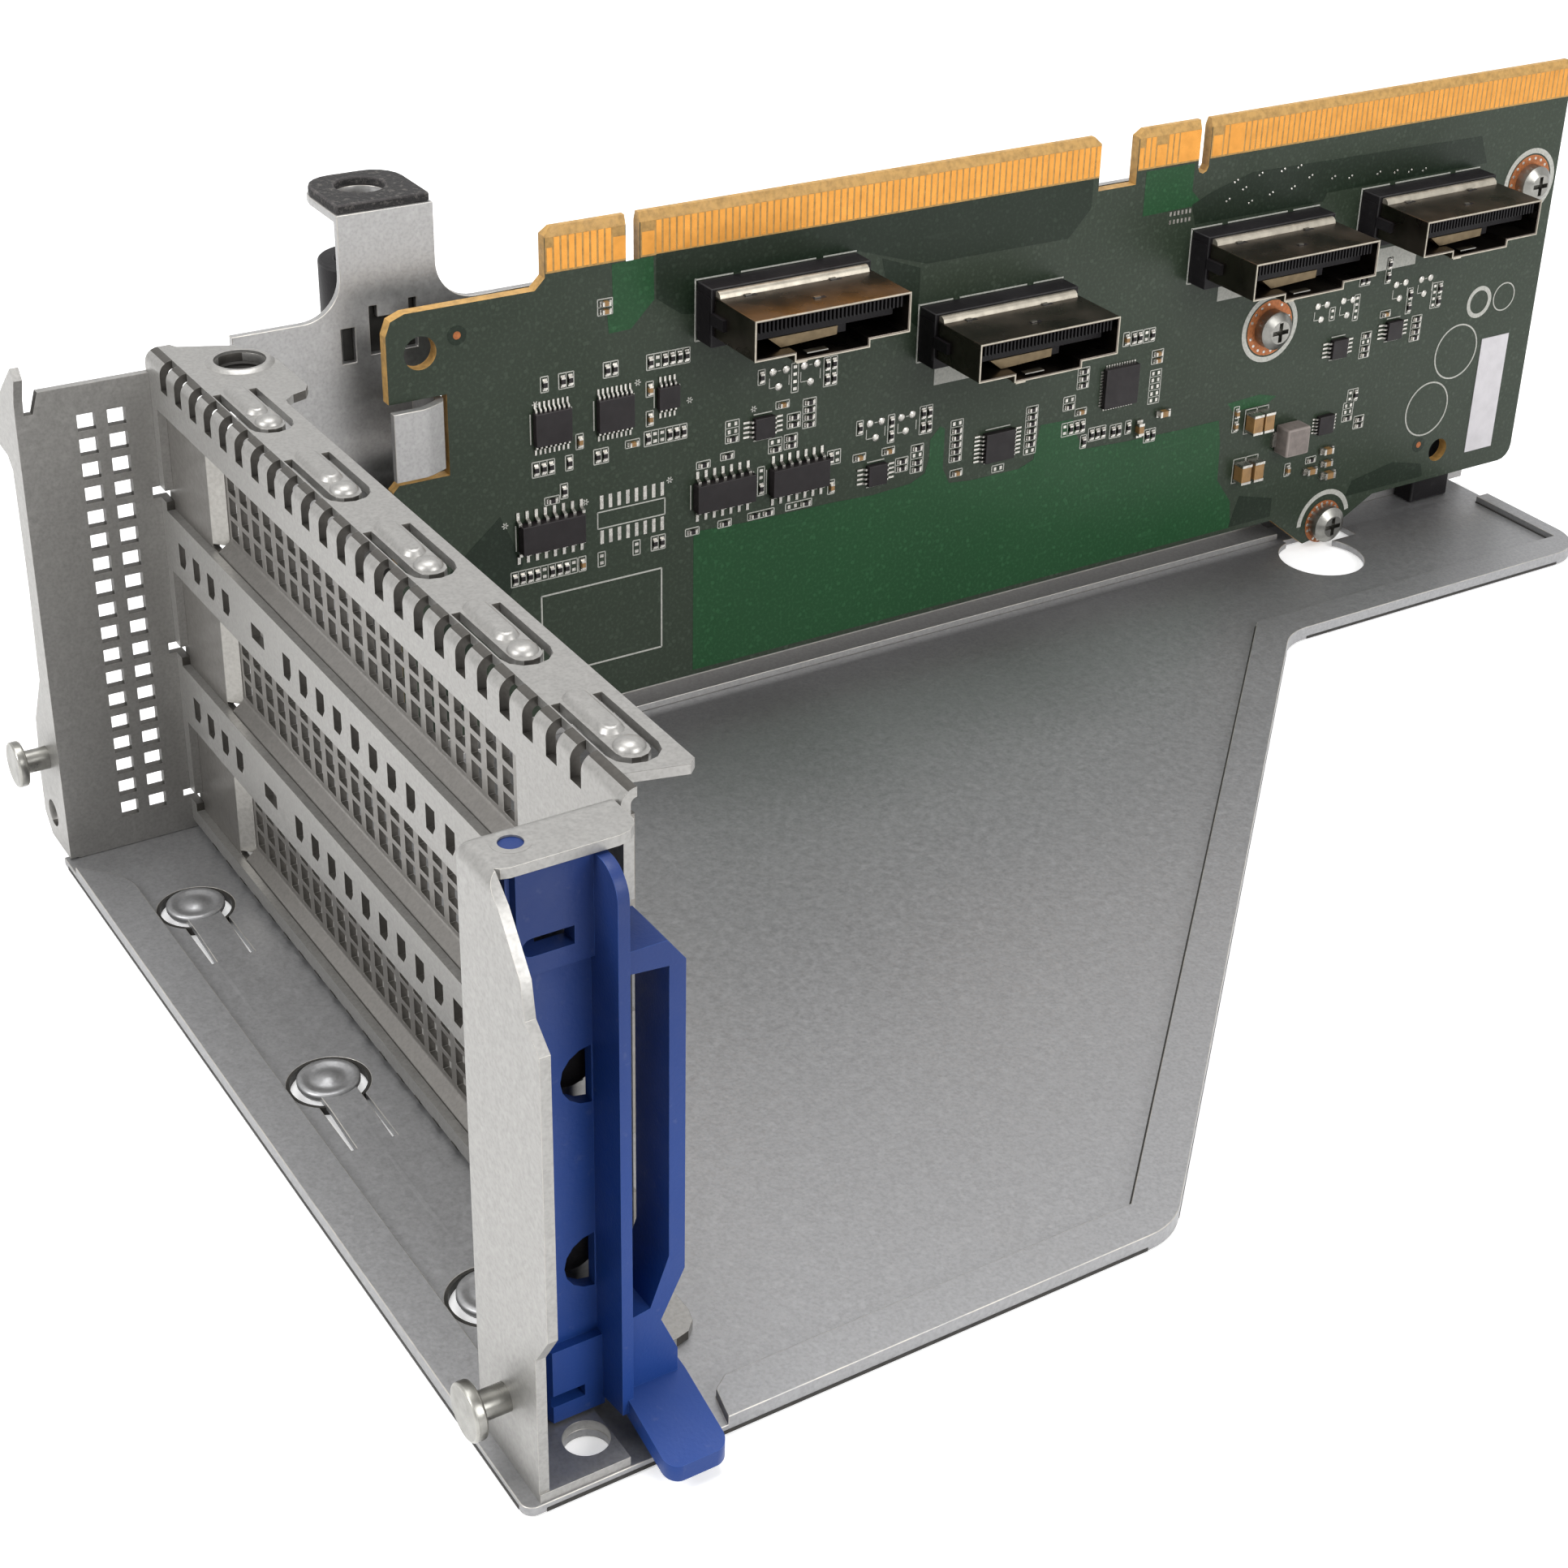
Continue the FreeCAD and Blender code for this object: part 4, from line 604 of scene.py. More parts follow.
GROUPS = [
    (56.0, 61.0, 1, 2, 1, 1), (47.5, 52.4, 1, 1, 0, 0), (50.5, 52.4, 2, 1, 0, 0), (56.7, 52.7, 2, 1, 0, 0),
    (64.9, 52.6, 6, 1, 0, 0), (62.2, 49.0, 1, 1, 0, 1), (62.2, 45.0, 1, 1, 0, 1), (52.2, 43.9, 1, 1, 0, 1),
    (64.5, 42.3, 6, 1, 0, 0), (59.7, 42.1, 1, 1, 1, 1), (78.7, 47.5, 1, 1, 0, 0), (74.4, 40.8, 1, 3, 1, 0),
    (47.1, 41.3, 3, 1, 0, 0), (50.7, 41.3, 1, 1, 0, 0), (55.2, 41.3, 2, 1, 0, 0), (49.9, 37.6, 1, 1, 0, 0),
    (48.2, 36.7, 1, 1, 1, 0), (46.9, 26.9, 9, 1, 0, 0), (52.3, 26.9, 1, 1, 0, 1), (55.1, 26.9, 1, 1, 0, 0),
    (60.2, 27.4, 1, 1, 0, 0), (63.4, 27.4, 2, 1, 0, 0), (68.5, 27.8, 1, 1, 1, 0), (83.8, 46.5, 1, 2, 0, 0),
    (89.3, 46.4, 2, 2, 0, 0), (82.0, 43.1, 1, 1, 1, 1), (83.8, 40.5, 1, 2, 1, 0), (86.2, 41.1, 1, 4, 1, 0),
    (81.0, 37.5, 1, 2, 1, 0), (83.4, 37.6, 1, 2, 1, 0), (70.1, 37.0, 1, 1, 1, 0), (73.7, 37.5, 1, 1, 1, 0),
    (78.9, 32.8, 1, 2, 0, 0), (90.3, 33.9, 2, 1, 0, 0), (90.0, 29.6, 1, 1, 0, 1), (84.9, 28.1, 2, 1, 1, 0),
    (79.0, 28.0, 2, 1, 1, 0), (73.4, 27.9, 1, 1, 1, 0), (94.4, 33.0, 1, 1, 1, 1), (99.1, 33.0, 1, 1, 1, 1),
    (94.3, 37.3, 1, 1, 0, 0), (99.4, 36.2, 1, 2, 0, 0), (105.1, 36.4, 2, 2, 0, 0), (101.4, 30.5, 1, 2, 1, 0),
    (103.9, 30.9, 1, 4, 1, 0), (110.4, 32.2, 1, 6, 1, 0), (123.3, 31.2, 1, 7, 1, 0),
    (110.7, 27.3, 1, 1, 1, 1), (117.9, 26.5, 1, 1, 1, 0), (139.2, 41.9, 1, 1, 0, 1),
    (141.1, 41.8, 2, 1, 0, 0), (143.4, 41.8, 2, 1, 0, 0), (132.0, 37.4, 1, 3, 1, 0),
    (129.8, 34.0, 1, 2, 1, 0), (132.0, 32.3, 1, 1, 1, 1), (130.9, 30.0, 4, 1, 0, 0),
    (135.3, 28.3, 3, 1, 0, 0), (138.7, 28.0, 2, 1, 0, 0), (132.9, 27.5, 1, 1, 0, 0),
    (145.3, 33.6, 1, 5, 1, 0), (145.3, 38.2, 1, 2, 1, 1), (141.0, 28.1, 1, 1, 0, 0),
    (145.2, 26.0, 2, 1, 0, 0), (196.7, 33.5, 1, 4, 1, 0), (186.4, 32.6, 1, 4, 1, 0),
    (178.7, 38.9, 1, 1, 0, 0), (183.5, 39.1, 1, 2, 0, 0), (184.6, 43.4, 2, 1, 0, 0),
    (189.3, 44.0, 1, 2, 0, 0), (189.8, 37.0, 1, 1, 1, 1), (194.5, 38.3, 1, 2, 0, 0),
    (200.2, 38.3, 2, 2, 0, 0), (185.2, 24.6, 2, 1, 0, 0), (184.6, 22.0, 1, 3, 1, 0),
    (187.2, 19.8, 1, 2, 1, 0), (161.7, 25.2, 1, 2, 0, 1), (173.4, 14.6, 1, 1, 0, 1),
    (178.1, 15.3, 1, 1, 1, 0), (34.0, 15.0, 2, 1, 0, 0),
]
CELL_WIDE, CELL_LONG = 1.04, 2.05


def make_small_parts():
    """The chip resistors and capacitors with their printed outlines. Returns the mesh for all solder."""
    resistors, capacitors, solder, lines = [bmesh.new() for _ in range(4)]

    def one(y, z, lying, tan, scale=1.0, filled=True):
        """One chip part with its solder, or the two bare lands of a part left off."""
        def part(bm, along, across, start, top, shift=0.0):
            dy, dz = (along, across) if lying else (across, along)
            sy, sz = (shift, 0) if lying else (0, shift)
            box_into(bm, (start, y + sy - dy / 2, z + sz - dz / 2), (top, y + sy + dy / 2, z + sz + dz / 2))

        tall = (0.55 if tan else 0.38) * scale
        if filled:
            part(capacitors if tan else resistors, 0.66 * scale, 0.52 * scale, 0.0, tall)
            for side in (-1, 1):
                part(solder, 0.24 * scale, 0.56 * scale, 0.0, tall + 0.02, side * 0.44 * scale)
                part(solder, 0.28 * scale, 0.60 * scale, 0.0, tall * 0.45, side * 0.66 * scale)
        else:
            for side in (-1, 1):
                part(solder, 0.42, 0.52, 0.0, 0.09, side * 0.5)

    for y, z, columns, rows, lying, tan in GROUPS:
        wide, tall = (CELL_LONG, CELL_WIDE) if lying else (CELL_WIDE, CELL_LONG)
        left, low = y - wide * columns / 2, z - tall * rows / 2
        right, high = left + wide * columns, low + tall * rows
        frame_into(lines, left, low, right, high, 0.13, SUNK, PROUD)
        for column in range(columns):
            if column and not lying:
                line_into(lines, (left + wide * column, low), (left + wide * column, high), 0.1, SUNK, PROUD)
            for row in range(rows):
                if row and lying and not column:
                    line_into(lines, (left, low + tall * row), (right, low + tall * row), 0.1, SUNK, PROUD)
                one(left + wide * (column + 0.5), low + tall * (row + 0.5), lying, tan,
                    filled=tan or draw.random() < 0.78)
    for y, z, lying, scale in ((147.2, 29.2, 1, 1.6), (142.9, 27.6, 0, 1.7), (181.0, 16.4, 1, 1.7),
                               (181.3, 14.2, 1, 1.5), (178.0, 13.6, 1, 1.7), (181.8, 12.2, 1, 1.9)):
        one(y, z, lying, 1, scale)
    # Silver ends of the four large capacitors and of the inductor
    for y, z in ((164.7, 24.4), (166.9, 24.4), (163.4, 16.6), (165.9, 16.6)):
        for side in (-1, 1):
            box_into(solder, (0, y - 0.93, z + side * 1.38 - 0.2), (2.03, y + 0.93, z + side * 1.38 + 0.2))
        frame_into(lines, y - 1.15, z - 1.95, y + 1.15, z + 1.95, 0.13, SUNK, PROUD)
    for side in (-1, 1):
        box_into(solder, (0, 172.3 + side * 2.5 - 0.5, 19.3), (0.5, 172.3 + side * 2.5 + 0.5, 21.7))
    piece("small_resistors", resistors, CHIP)
    piece("small_capacitors", capacitors, TAN)
    piece("part_outlines", lines, PRINT)
    return solder


def leads_into(bm, y, z, half, tall, count, pitch, width, upright, reach=1.6):
    """Bent leads along two opposite sides of a package."""
    upper, lower = tall * 0.5 + 0.09, tall * 0.5 - 0.09
    path = [(upper, half - 0.05), (upper, half + 0.35), (0.19, half + 0.62), (0.17, half + reach),
            (0.0, half + reach), (0.0, half + 0.52), (lower, half + 0.22), (lower, half - 0.05)]
    for side in (-1, 1):
        for index in range(count):
            place = (index - (count - 1) / 2) * pitch
            if upright:
                outline = [(x, z + side * d) for x, d in path]
                prism_into(bm, "Y", outline, y + place - width / 2, y + place + width / 2)
            else:
                outline = [(x, y + side * d) for x, d in path]
                prism_into(bm, "Z", outline, z + place - width / 2, z + place + width / 2)


def make_leads(bm):
    """The leads of every package, and the short ones on all four sides of the main chip."""
    for y, z, count in ((47.8, 32.5, 8), (73.0, 32.7, 7), (84.5, 32.5, 7)):
        leads_into(bm, y, z, 1.95, 1.5, count, 1.27, 0.42, True)
    for y, z in ((48.3, 46.8), (57.1, 46.9)):
        leads_into(bm, y, z, 2.2, 1.0, 8, 0.64, 0.26, True, 1.3)
    leads_into(bm, 117.5, 30.2, 2.5, 1.0, 7, 0.62, 0.26, False, 1.5)
    leads_into(bm, 64.7, 47.6, 1.5, 0.9, 4, 0.68, 0.28, True, 1.3)
    for y, z in ((79.0, 40.6), (97.1, 30.1), (180.6, 33.2), (191.7, 34.2)):
        leads_into(bm, y, z, 1.5, 0.9, 4, 0.68, 0.28, False, 1.5)
    leads_into(bm, 179.8, 21.0, 1.5, 0.9, 5, 0.55, 0.24, False, 0.9)
    chip_y, chip_z, half, tall = 138.6, 35.1, 0.12, 0.12
    for index in range(12):
        step = (index - 5.5) * 0.46
        for side in (-1, 1):
            out = side * 3.15
            box_into(bm, (0, chip_y + step - half, chip_z + out - 0.3),
                     (tall, chip_y + step + half, chip_z + out + 0.3))
            box_into(bm, (0, chip_y + out - 0.3, chip_z + step - half),
                     (tall, chip_y + out + 0.3, chip_z + step + half))


def make_lands(bm):
    """Bare solder lands: an unfilled package, test points and a row of stitching vias."""
    for index in range(8):
        place = 55.2 + index * 1.257
        box_into(bm, (0, place - 0.25, 33.95), (0.05, place + 0.25, 35.85))
        box_into(bm, (0, place - 0.25, 29.05), (0.05, place + 0.25, 30.95))
    spots = [(80.4, 47.9), (82.4, 47.9), (81.3, 45.7), (85.2, 47.9), (87.2, 47.9), (86.2, 45.5), (95.9, 37.6),
             (97.8, 37.6), (96.9, 35.4), (101.0, 37.5), (102.8, 37.6), (101.8, 35.4), (175.6, 40.6),
             (177.4, 40.6), (176.5, 38.4), (180.7, 40.6), (182.6, 40.5), (181.7, 38.2), (191.3, 41.4),
             (193.2, 41.5), (192.3, 39.1), (196.5, 41.4), (198.4, 41.4), (197.4, 39.0)]
    for y, z in spots:
        turned_into(bm, "X", y, z, [(0, 0.0), (0.56, 0.0), (0.52, 0.12), (0.30, 0.22), (0, 0.25)], 14)
    dots = [(156.8, 62.5), (161.3, 62.9), (165.5, 62.9), (168.6, 63.0), (158.5, 61.2), (163.7, 59.7),
            (167.8, 60.0), (171.0, 61.2), (155.6, 59.9), (159.9, 59.0), (175.5, 60.4), (178.9, 60.0),
            (184.5, 59.8), (188.0, 59.5), (190.9, 59.2), (193.8, 59.0)]
    via = [(0, 0.02), (0.16, 0.02), (0.13, 0.07), (0, 0.07)]
    for y, z in dots:
        for shift in (-0.28, 0.28):
            turned_into(bm, "X", y + shift, z + shift * 0.5, via, 8)
    for index in range(6):
        place = 145.2 + index * 0.7
        box_into(bm, (0, place - 0.17, 57.9), (0.08, place + 0.17, 58.5))
        box_into(bm, (0, place - 0.17, 59.1), (0.08, place + 0.17, 59.7))


def make_print():
    """Lines and plain fields printed on the board."""
    bm = bmesh.new()
    frame_into(bm, 46.4, 12.0, 63.9, 23.6, 0.22, SUNK, PROUD)
    frame_into(bm, 54.6, 31.25, 64.4, 33.55, 0.16, SUNK, PROUD)
    for y, z in ((206.4, 27.9), (201.8, 19.1)):
        flat_band_into(bm, "X", y, z, 4.3, 4.55, SUNK, PROUD)
    flat_band_into(bm, "X", 209.9, 35.5, 1.9, 2.6, SUNK, PROUD)
    flat_band_into(bm, "X", 215.3, 35.5, 2.15, 2.35, SUNK, PROUD)
    for left, low in CONNECTORS:
        side = left - 0.25
        line_into(bm, (side, low - 0.2), (side, low + 8.1), 0.2, SUNK, PROUD)
        line_into(bm, (side, low - 0.2), (left + 2.2, low - 0.2), 0.2, SUNK, PROUD)
        for start, end in ((0, 5.5), (6.6, 17.8), (18.9, 24.0)):
            line_into(bm, (side + start, low + 7.95), (side + end, low + 7.95), 0.2, SUNK, PROUD)
    for left, low, right, high in ((186.5, 44.2, 194.6, 47.8), (155.5, 44.8, 163.2, 47.2),
                                   (106.1, 41.2, 113.8, 45.0)):
        prism_into(bm, "X", [(left, low), (right, low), (right, high), (left, high)], SUNK, PROUD)
    # Small six-pointed marks beside the packages, and a line along two sides of each
    for y, z in ((41.6, 34.6), (68.0, 46.4), (46.2, 50.0), (60.5, 50.2), (52.9, 35.4), (65.1, 35.9),
                 (77.6, 43.3)):
        for index in range(3):
            angle = index * math.pi / 3
            line_into(bm, (y - 0.45 * math.cos(angle), z - 0.45 * math.sin(angle)),
                      (y + 0.45 * math.cos(angle), z + 0.45 * math.sin(angle)), 0.16, SUNK, PROUD)
    for y, z, half_long, half_wide in ((47.8, 32.5, 4.4, 1.95), (73.0, 32.7, 4.4, 1.95),
                                       (84.5, 32.5, 4.4, 1.95), (48.3, 46.8, 2.5, 2.2),
                                       (57.1, 46.9, 2.5, 2.2), (64.7, 47.6, 1.5, 1.5)):
        for side in (-1, 1):
            edge = y + side * (half_long + 0.35)
            line_into(bm, (edge, z - half_wide + 0.2), (edge, z + half_wide - 0.2), 0.15, SUNK, PROUD)
    for y, z, half in ((79.0, 40.6, 1.5), (97.1, 30.1, 1.5), (117.5, 30.2, 2.2), (180.6, 33.2, 1.5),
                       (191.7, 34.2, 1.5)):
        for side in (-1, 1):
            edge = z + side * (half + 0.35)
            line_into(bm, (y - half + 0.1, edge), (y + half - 0.1, edge), 0.15, SUNK, PROUD)
    for y, z in ((80.4, 47.9), (85.2, 47.9), (95.9, 37.6), (101.0, 37.5), (175.6, 40.6), (180.7, 40.6),
                 (191.3, 41.4), (196.5, 41.4)):
        line_into(bm, (y - 0.5, z - 0.8), (y - 0.5, z - 2.2), 0.12, SUNK, PROUD)
        line_into(bm, (y - 0.5, z - 2.2), (y + 0.5, z - 2.2), 0.12, SUNK, PROUD)
        line_into(bm, (y + 0.75, z), (y + 1.25, z), 0.12, SUNK, PROUD)
        line_into(bm, (y + 2.5, z - 0.8), (y + 2.5, z - 2.2), 0.12, SUNK, PROUD)
    piece("board_lines", bm, PRINT)
    label = bmesh.new()
    prism_into(label, "X", [(211.9, 9.6), (217.8, 9.6), (217.8, 29.0), (211.9, 29.0)], 0.0, 0.09)
    piece("blank_sticker", label, LABEL)
    # Round copper marks, each in a clear ring
    places = (36.1, 60.8), (201.2, 13.1)
    marks = bmesh.new()
    for y, z in places:
        turned_into(marks, "X", y, z, [(0, SUNK), (0.5, SUNK), (0.5, 0.04), (0, 0.04)], 16)
    piece("fiducials", marks, COPPER)
    halos = bmesh.new()
    for y, z in places:
        flat_band_into(halos, "X", y, z, 0.55, 1.25, SUNK, 0.03)
    piece("fiducial_halos", halos, DARK_GREEN)


# Cable connectors: cut rims and rolled bands lighter, partly as cut metal and partly as a painted highlight,
# spring tabs, contact combs and side ribs

CONNECTORS = [(69.0, 54.4), (103.3, 45.2), (149.7, 48.6), (181.8, 49.8)]
CONNECTOR_LONG, MOUTH = 23.7, 13.40


def rim_outline(left, low, right, grow):
    """Outline of a connector's mouth, grown or shrunk by a margin."""
    mouth, floor = low + 6.8 + grow, low + 1.5 - grow
    return [(left + 0.4 - grow, mouth), (left + 0.4 - grow, floor), (left + 6.2 - grow, floor),
            (left + 6.2 - grow, floor - 1.0), (right - 6.4 + grow, floor - 1.0), (right - 6.4 + grow, floor),
            (right - 0.4 + grow, floor), (right - 0.4 + grow, mouth)]


def make_connectors():
    rims, bands, combs, tongues, tabs, slots, ribs = [bmesh.new() for _ in range(7)]
    for left, low in CONNECTORS:
        right = left + CONNECTOR_LONG
        outer, inner = rim_outline(left, low, right, 0.02), rim_outline(left, low, right, -0.16)
        loop_into(rims, "X", [(outer, MOUTH), (outer, MOUTH + 0.14), (inner, MOUTH + 0.14), (inner, MOUTH)])
        # Rolled band where the shell meets the base, in the lighter rim finish with its painted highlight
        prism_into(bands, "Y", [(3.62, low + 6.75), (3.62, low + 7.45), (3.9, low + 7.62), (4.3, low + 7.55),
                                (4.65, low + 7.25), (4.8, low + 6.75)], left + 0.6, right - 1.0)
        # Contact comb under the mouth's roof, and the rib behind it
        box_into(ribs, (9.6, left + 0.9, low + 4.8), (11.2, right - 0.9, low + 6.3))
        for index in range(36):
            place = left + 1.5 + index * 0.59
            box_into(combs, (11.2, place, low + 4.8), (12.9, place + 0.26, low + 6.3))
        # Tongue with its gold face, seen in the left half of the mouth
        prism_into(tongues, "X", [(left + 3.6, low + 3.32), (left + 13.7, low + 3.32),
                                  (left + 13.6, low + 2.2), (left + 5.4, low + 1.9)], 6.0, 11.45)
        box_into(ribs, (6.0, left + 13.7, low + 2.2), (11.0, left + 15.2, low + 3.5))
        box_into(ribs, (3.6, left - 0.15, low + 3.2), (6.7, left + 0.42, low + 4.7))
        box_into(ribs, (0.0, left - 0.12, low + 1.2), (3.4, left + 0.1, low + 6.6))
        for x, y in ((5.1, 4.7), (5.0, 17.3), (9.8, 11.9)):
            box_into(slots, (x - 0.35, left + y - 0.9, low + 6.7), (x + 0.35, left + y + 0.9, low + 6.82))
            box_into(tabs, (x - 0.22, left + y - 0.75, low + 6.7), (x + 0.22, left + y + 0.1, low + 7.0))
        # Key on the floor of the mouth
        prism_into(rims, "X", [(left + 6.4, low + 0.3), (left + 8.0, low + 0.3), (left + 8.0, low + 0.55),
                               (left + 6.4, low + 0.55)], 12.6, 13.55)
        box_into(tabs, (12.0, left + 8.3, low + 1.1), (13.0, left + 11.4, low + 1.25))
        for index in range(18):
            place = left + 1.6 + index * 1.2
            box_into(slots, (0.0, place, low - 0.28), (0.35, place + 0.5, low + 0.02))
    piece("connector_rims", rims, CUT_RIM_SHEEN)
    piece("connector_bands", bands, CUT_RIM_SHEEN, smooth=50)
    piece("connector_combs", combs, BLACK)
    piece("connector_tongues", tongues, BRASS)
    piece("connector_tabs", tabs, BRIGHT)
    piece("connector_slots", slots, BLACK)
    piece("connector_ribs", ribs, BLACK)


# Pressed details of the cage

FLANGE_TOP, PLATE_TOP = 63.78, 1.0
TONGUE_PITCH, FINGER_PITCH, SLOT_PITCH, NICK_PITCH = 19.95, 39.3, 20.32, 4.484
FLANGE_HOLE = 3.4, 8.0
FINGERS = [(13.0 + FINGER_PITCH * index, -6.3) for index in range(3)]


def make_pressings():
    """Beads and domes on the top flange's tongues, the rim of its hole, and the fingers' discs."""
    bm = bmesh.new()
    for index in range(5):
        tip = 24.0 + TONGUE_PITCH * index
        mound_into(bm, "Z", capsule(tip - 9.6, 4.3, 8.8, 2.6), FLANGE_TOP - 0.05, 0.70, 0.62)
        dome = [(0, -0.05), (1.5, -0.05), (1.42, 0.20), (1.15, 0.48), (0.7, 0.66), (0.3, 0.72), (0, 0.73)]
        turned_into(bm, "Z", tip - 3.1, 4.3, [(radius, FLANGE_TOP + rise) for radius, rise in dome], 24)
    u, v = FLANGE_HOLE
    flared = [(3.9, -0.05), (3.5, 0.30), (3.15, 0.42), (2.92, 0.34), (2.92, -0.05)]
    band_into(bm, "Z", u, v, [(radius, FLANGE_TOP + rise) for radius, rise in flared])
    piece("flange_pressings", bm, PANEL, smooth=50)
    # The threaded collar below the flange's hole, darkened with painted shade
    bm = bmesh.new()
    bottom, top = FLANGE_TOP - 4.6, FLANGE_TOP - 0.98
    flat_band_into(bm, "Z", u, v, 2.9, 3.5, bottom, top)
    for index in range(6):
        low = bottom + 0.1 + index * 0.6
        band_into(bm, "Z", u, v, [(2.92, low), (2.70, low + 0.25), (2.92, low + 0.5)])
    piece("flange_collar", bm, PAINTED_SHADE)
    bm = bmesh.new()
    disc = [(0, -0.3), (3.4, -0.3), (3.4, 0.08), (3.1, 0.30), (2.6, 0.26), (2.2, 0.06), (1.6, 0.04),
            (1.25, 0.22), (0.85, 0.42), (0.4, 0.52), (0, 0.54)]
    raised = [(radius, PLATE_TOP + 0.5 + rise) for radius, rise in disc]
    for x, y in FINGERS:
        turned_into(bm, "Z", x, y, raised, 36)
    piece("finger_pressings", bm, PLATE, smooth=60)


def make_trim():
    """The ring round the latch's upper stub, and the slope left of each cover's grille, lighter with painted
    light.
    """
    bm = bmesh.new()
    flat_band_into(bm, "Z", 108.2, -10.6, 1.1, 1.75, 62.64, 62.82)
    piece("ear_collar", bm, BRACKET)
    bm = bmesh.new()
    for number in range(3):
        floor = 4.14 + SLOT_PITCH * number
        prism_into(bm, "Z", [(9.2, 0.985), (9.37, 0.985), (10.83, 2.44), (10.76, 2.52), (9.2, 1.06)],
                   floor + 0.6, floor + 13.9)
    piece("cover_bands", bm, LIT_SLOPE)


def make_shade_strips():
    """Thin dark strips of painted shade and shadow where sheets fold, meet or open."""
    bm = bmesh.new()
    # Painted shade in the nicks along the panel's lower bend
    bend_y, bend_z, outer, inner = 1.6, 2.6, 1.70, 1.45
    arc = [math.radians(angle) for angle in (196, 208, 220, 232, 244)]
    outline = [(bend_y + outer * math.cos(a), bend_z + outer * math.sin(a)) for a in arc]
    outline += [(bend_y + inner * math.cos(a), bend_z + inner * math.sin(a)) for a in reversed(arc)]
    for index in range(22):
        place = 2.7 + NICK_PITCH * index
        prism_into(bm, "X", outline, place - 0.6, place + 0.6)
    # Painted shadow in the seam beside the folded-over rim
    low, high = PLATE_TOP - 0.02, PLATE_TOP + 0.12
    corners = [(113.3, 7.2), (113.3, 55.0), (18.75, 153.0), (18.75, 214.4), (1.9, 214.4)]
    for start, end in zip(corners, corners[1:]):
        line_into(bm, start, end, 0.3, low, high, "Z")
    line_into(bm, (6.2, -11.0), (105.0, -11.0), 0.3, low, high, "Z")
    # Painted shadow along the lower edge of the plate's rim
    for start, end in (((118.31, -14.0), (118.31, 53.5)), ((115.95, 59.46), (26.17, 152.56)),
                       ((23.81, 158.5), (23.81, 210.3)), ((-4.0, -16.01), (116.8, -16.01))):
        line_into(bm, start, end, 0.06, 0.03, 0.45, "Z")
    # Painted shade on the walls of the openings round the fingers' discs
    for x, y in FINGERS:
        flat_band_into(bm, "Z", x, y, 4.15, 4.52, 0.05, PLATE_TOP - 0.01)
    # Dark sheets of painted shade behind the riser wall's two slots and the latch's half-round openings
    box_into(bm, (-8.14, 24.9, 56.2), (-7.98, 34.6, 63.8))
    for height in (39.0, 18.7):
        box_into(bm, (106.31, -8.4, height - 3.6), (106.45, -3.6, height + 3.6))
    piece("painted_shade_strips", bm, PAINTED_SHADE)


def make_end_block_top():
    """The upper part of the block under the board's far end."""
    bm = bmesh.new()
    box_into(bm, (-6.9, 204.7, 5.5), (-3.1, 212.3, 13.0))
    piece("end_block_top", bm, BLACK)


make_board()
make_pours()
make_contacts()
make_screw_rings()
solder = make_small_parts()
make_leads(solder)
make_lands(solder)
piece("solder_and_leads", solder, SOLDER)
make_print()
make_connectors()
make_pressings()
make_trim()
make_shade_strips()
make_end_block_top()


# Stage, light and camera

FLOOR_HALF, FLOOR_LEVEL, FLOOR_GLOW, WORLD_LIGHT = 3000, -0.2, 0.45, 0.36
PHOTO_SIDE, FOCAL_PIXELS = 1932, 3244.32
CENTRE_X, CENTRE_Y = 1071.20, 861.91


def seen_directly(tree):
    """1 for rays from the camera, from a reflection or through glass, and 0 for the light itself."""
    rays = tree.nodes.new("ShaderNodeLightPath")
    total = rays.outputs["Is Camera Ray"]
    for name in ("Is Glossy Ray", "Is Transmission Ray"):
        node = tree.nodes.new("ShaderNodeMath")
        node.operation = "ADD"
        node.use_clamp = True
        tree.links.new(total, node.inputs[0])
        tree.links.new(rays.outputs[name], node.inputs[1])
        total = node.outputs[0]
    return total


def make_stage():
    """A white floor that keeps the object's shadow."""
    bm = bmesh.new()
    corners = [bm.verts.new((x * FLOOR_HALF * MM, y * FLOOR_HALF * MM, FLOOR_LEVEL * MM))
               for x, y in ((-1, -1), (1, -1), (1, 1), (-1, 1))]
    bm.faces.new(corners)
    floor = placed_mesh("floor", bm)
    paint = Paint("floor_white", (0.80, 0.80, 0.80), 0.9)
    tree = paint.tree
    glow = tree.nodes.new("ShaderNodeEmission")
    glow.inputs["Color"].default_value = (1, 1, 1, 1)
    glow.inputs["Strength"].default_value = FLOOR_GLOW
    add = tree.nodes.new("ShaderNodeAddShader")
    mix = tree.nodes.new("ShaderNodeMixShader")
    tree.links.new(paint.shader.outputs[0], add.inputs[0])
    tree.links.new(glow.outputs[0], add.inputs[1])
    tree.links.new(seen_directly(tree), mix.inputs[0])
    tree.links.new(paint.shader.outputs[0], mix.inputs[1])
    tree.links.new(add.outputs[0], mix.inputs[2])
    tree.links.new(mix.outputs[0], tree.nodes["Material Output"].inputs["Surface"])
    floor.data.materials.append(paint.material)


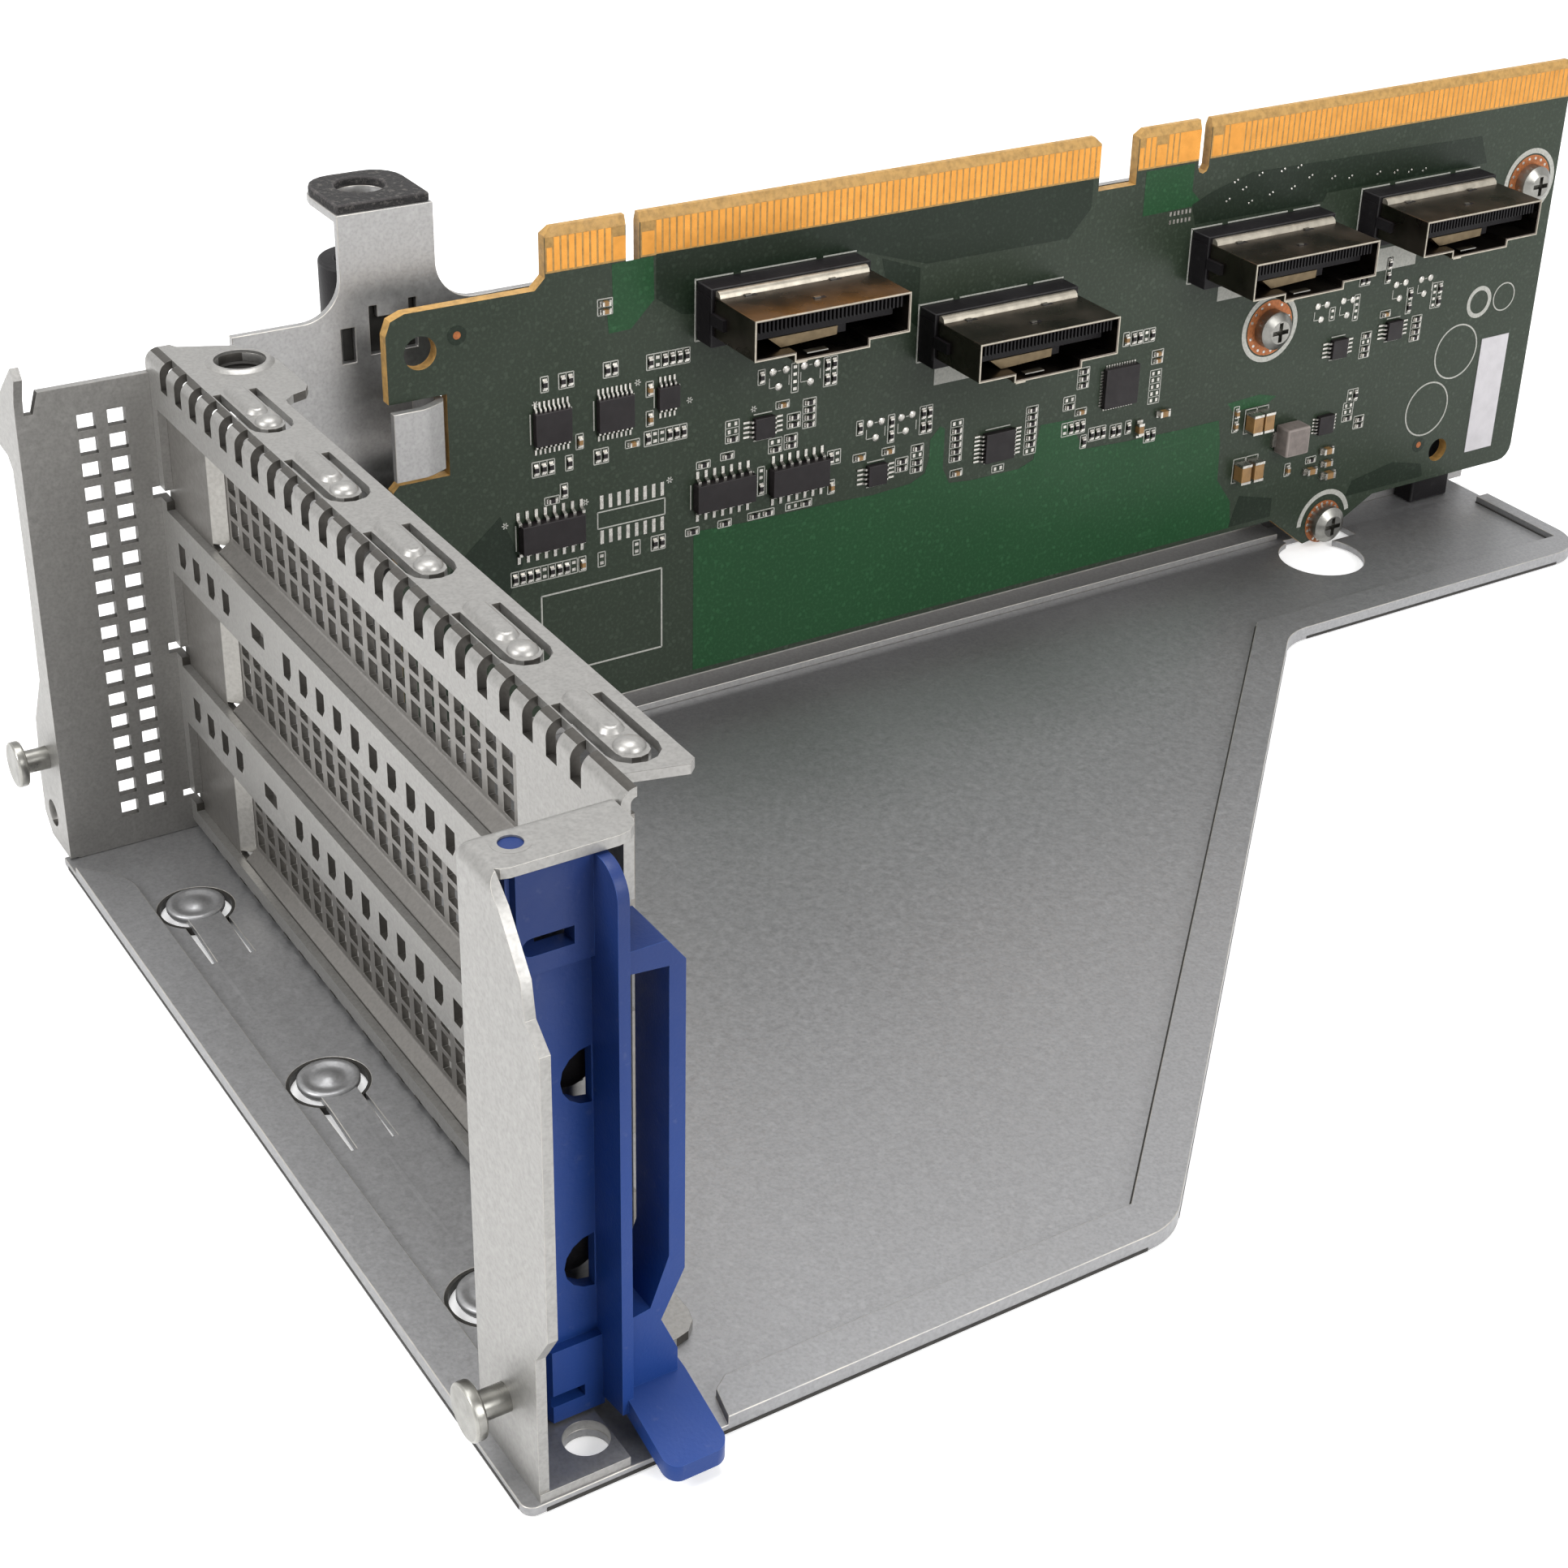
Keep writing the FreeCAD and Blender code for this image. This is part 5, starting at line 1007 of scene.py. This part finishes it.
def make_world():
    """Even pale light, with a white surround for the camera and for reflections."""
    world = bpy.data.worlds.new("studio")
    scene.world = world
    world.use_nodes = True
    tree = world.node_tree
    back = tree.nodes["Background"]
    back.inputs["Color"].default_value = (1, 1, 1, 1)
    back.inputs["Strength"].default_value = WORLD_LIGHT
    seen = tree.nodes.new("ShaderNodeBackground")
    seen.inputs["Color"].default_value = (1, 1, 1, 1)
    seen.inputs["Strength"].default_value = 1.0
    mix = tree.nodes.new("ShaderNodeMixShader")
    tree.links.new(seen_directly(tree), mix.inputs[0])
    tree.links.new(back.outputs[0], mix.inputs[1])
    tree.links.new(seen.outputs[0], mix.inputs[2])
    tree.links.new(mix.outputs[0], tree.nodes["World Output"].inputs["Surface"])


def make_lamp(name, place, target, size, power):
    light = bpy.data.lights.new(name, "AREA")
    light.shape = "SQUARE"
    light.size = size
    light.energy = power
    lamp = placed(name, light)
    lamp.location = place
    lamp.rotation_euler = (Vector(target) - Vector(place)).to_track_quat("-Z", "Y").to_euler()


def make_camera():
    """The photograph's camera, solved from the pitches and fold lines."""
    data = bpy.data.cameras.new("camera")
    camera = placed("camera", data)
    camera.matrix_world = Matrix((
        (0.54806, -0.41977, 0.72348, 0.27152),
        (0.83560, 0.23597, -0.49608, -0.08840),
        (0.03751, 0.87642, 0.48008, 0.17498),
        (0, 0, 0, 1)))
    data.sensor_width = 36
    data.lens = FOCAL_PIXELS / PHOTO_SIDE * data.sensor_width
    data.shift_x = -(CENTRE_X - PHOTO_SIDE / 2) / PHOTO_SIDE
    data.shift_y = (CENTRE_Y - PHOTO_SIDE / 2) / PHOTO_SIDE
    data.clip_start = 0.01
    data.clip_end = 50
    scene.camera = camera


scene.view_settings.view_transform = "Standard"
make_stage()
make_world()
make_lamp("key", (0.10, -0.70, 0.65), (0.05, 0.05, 0.03), 0.4, 6.5)
make_lamp("side", (0.85, 0.30, 0.50), (0.03, 0.10, 0.03), 0.5, 5.5)
make_lamp("top", (-0.10, 0.10, 1.1), (0.05, 0.08, 0.0), 0.6, 8.5)
make_camera()
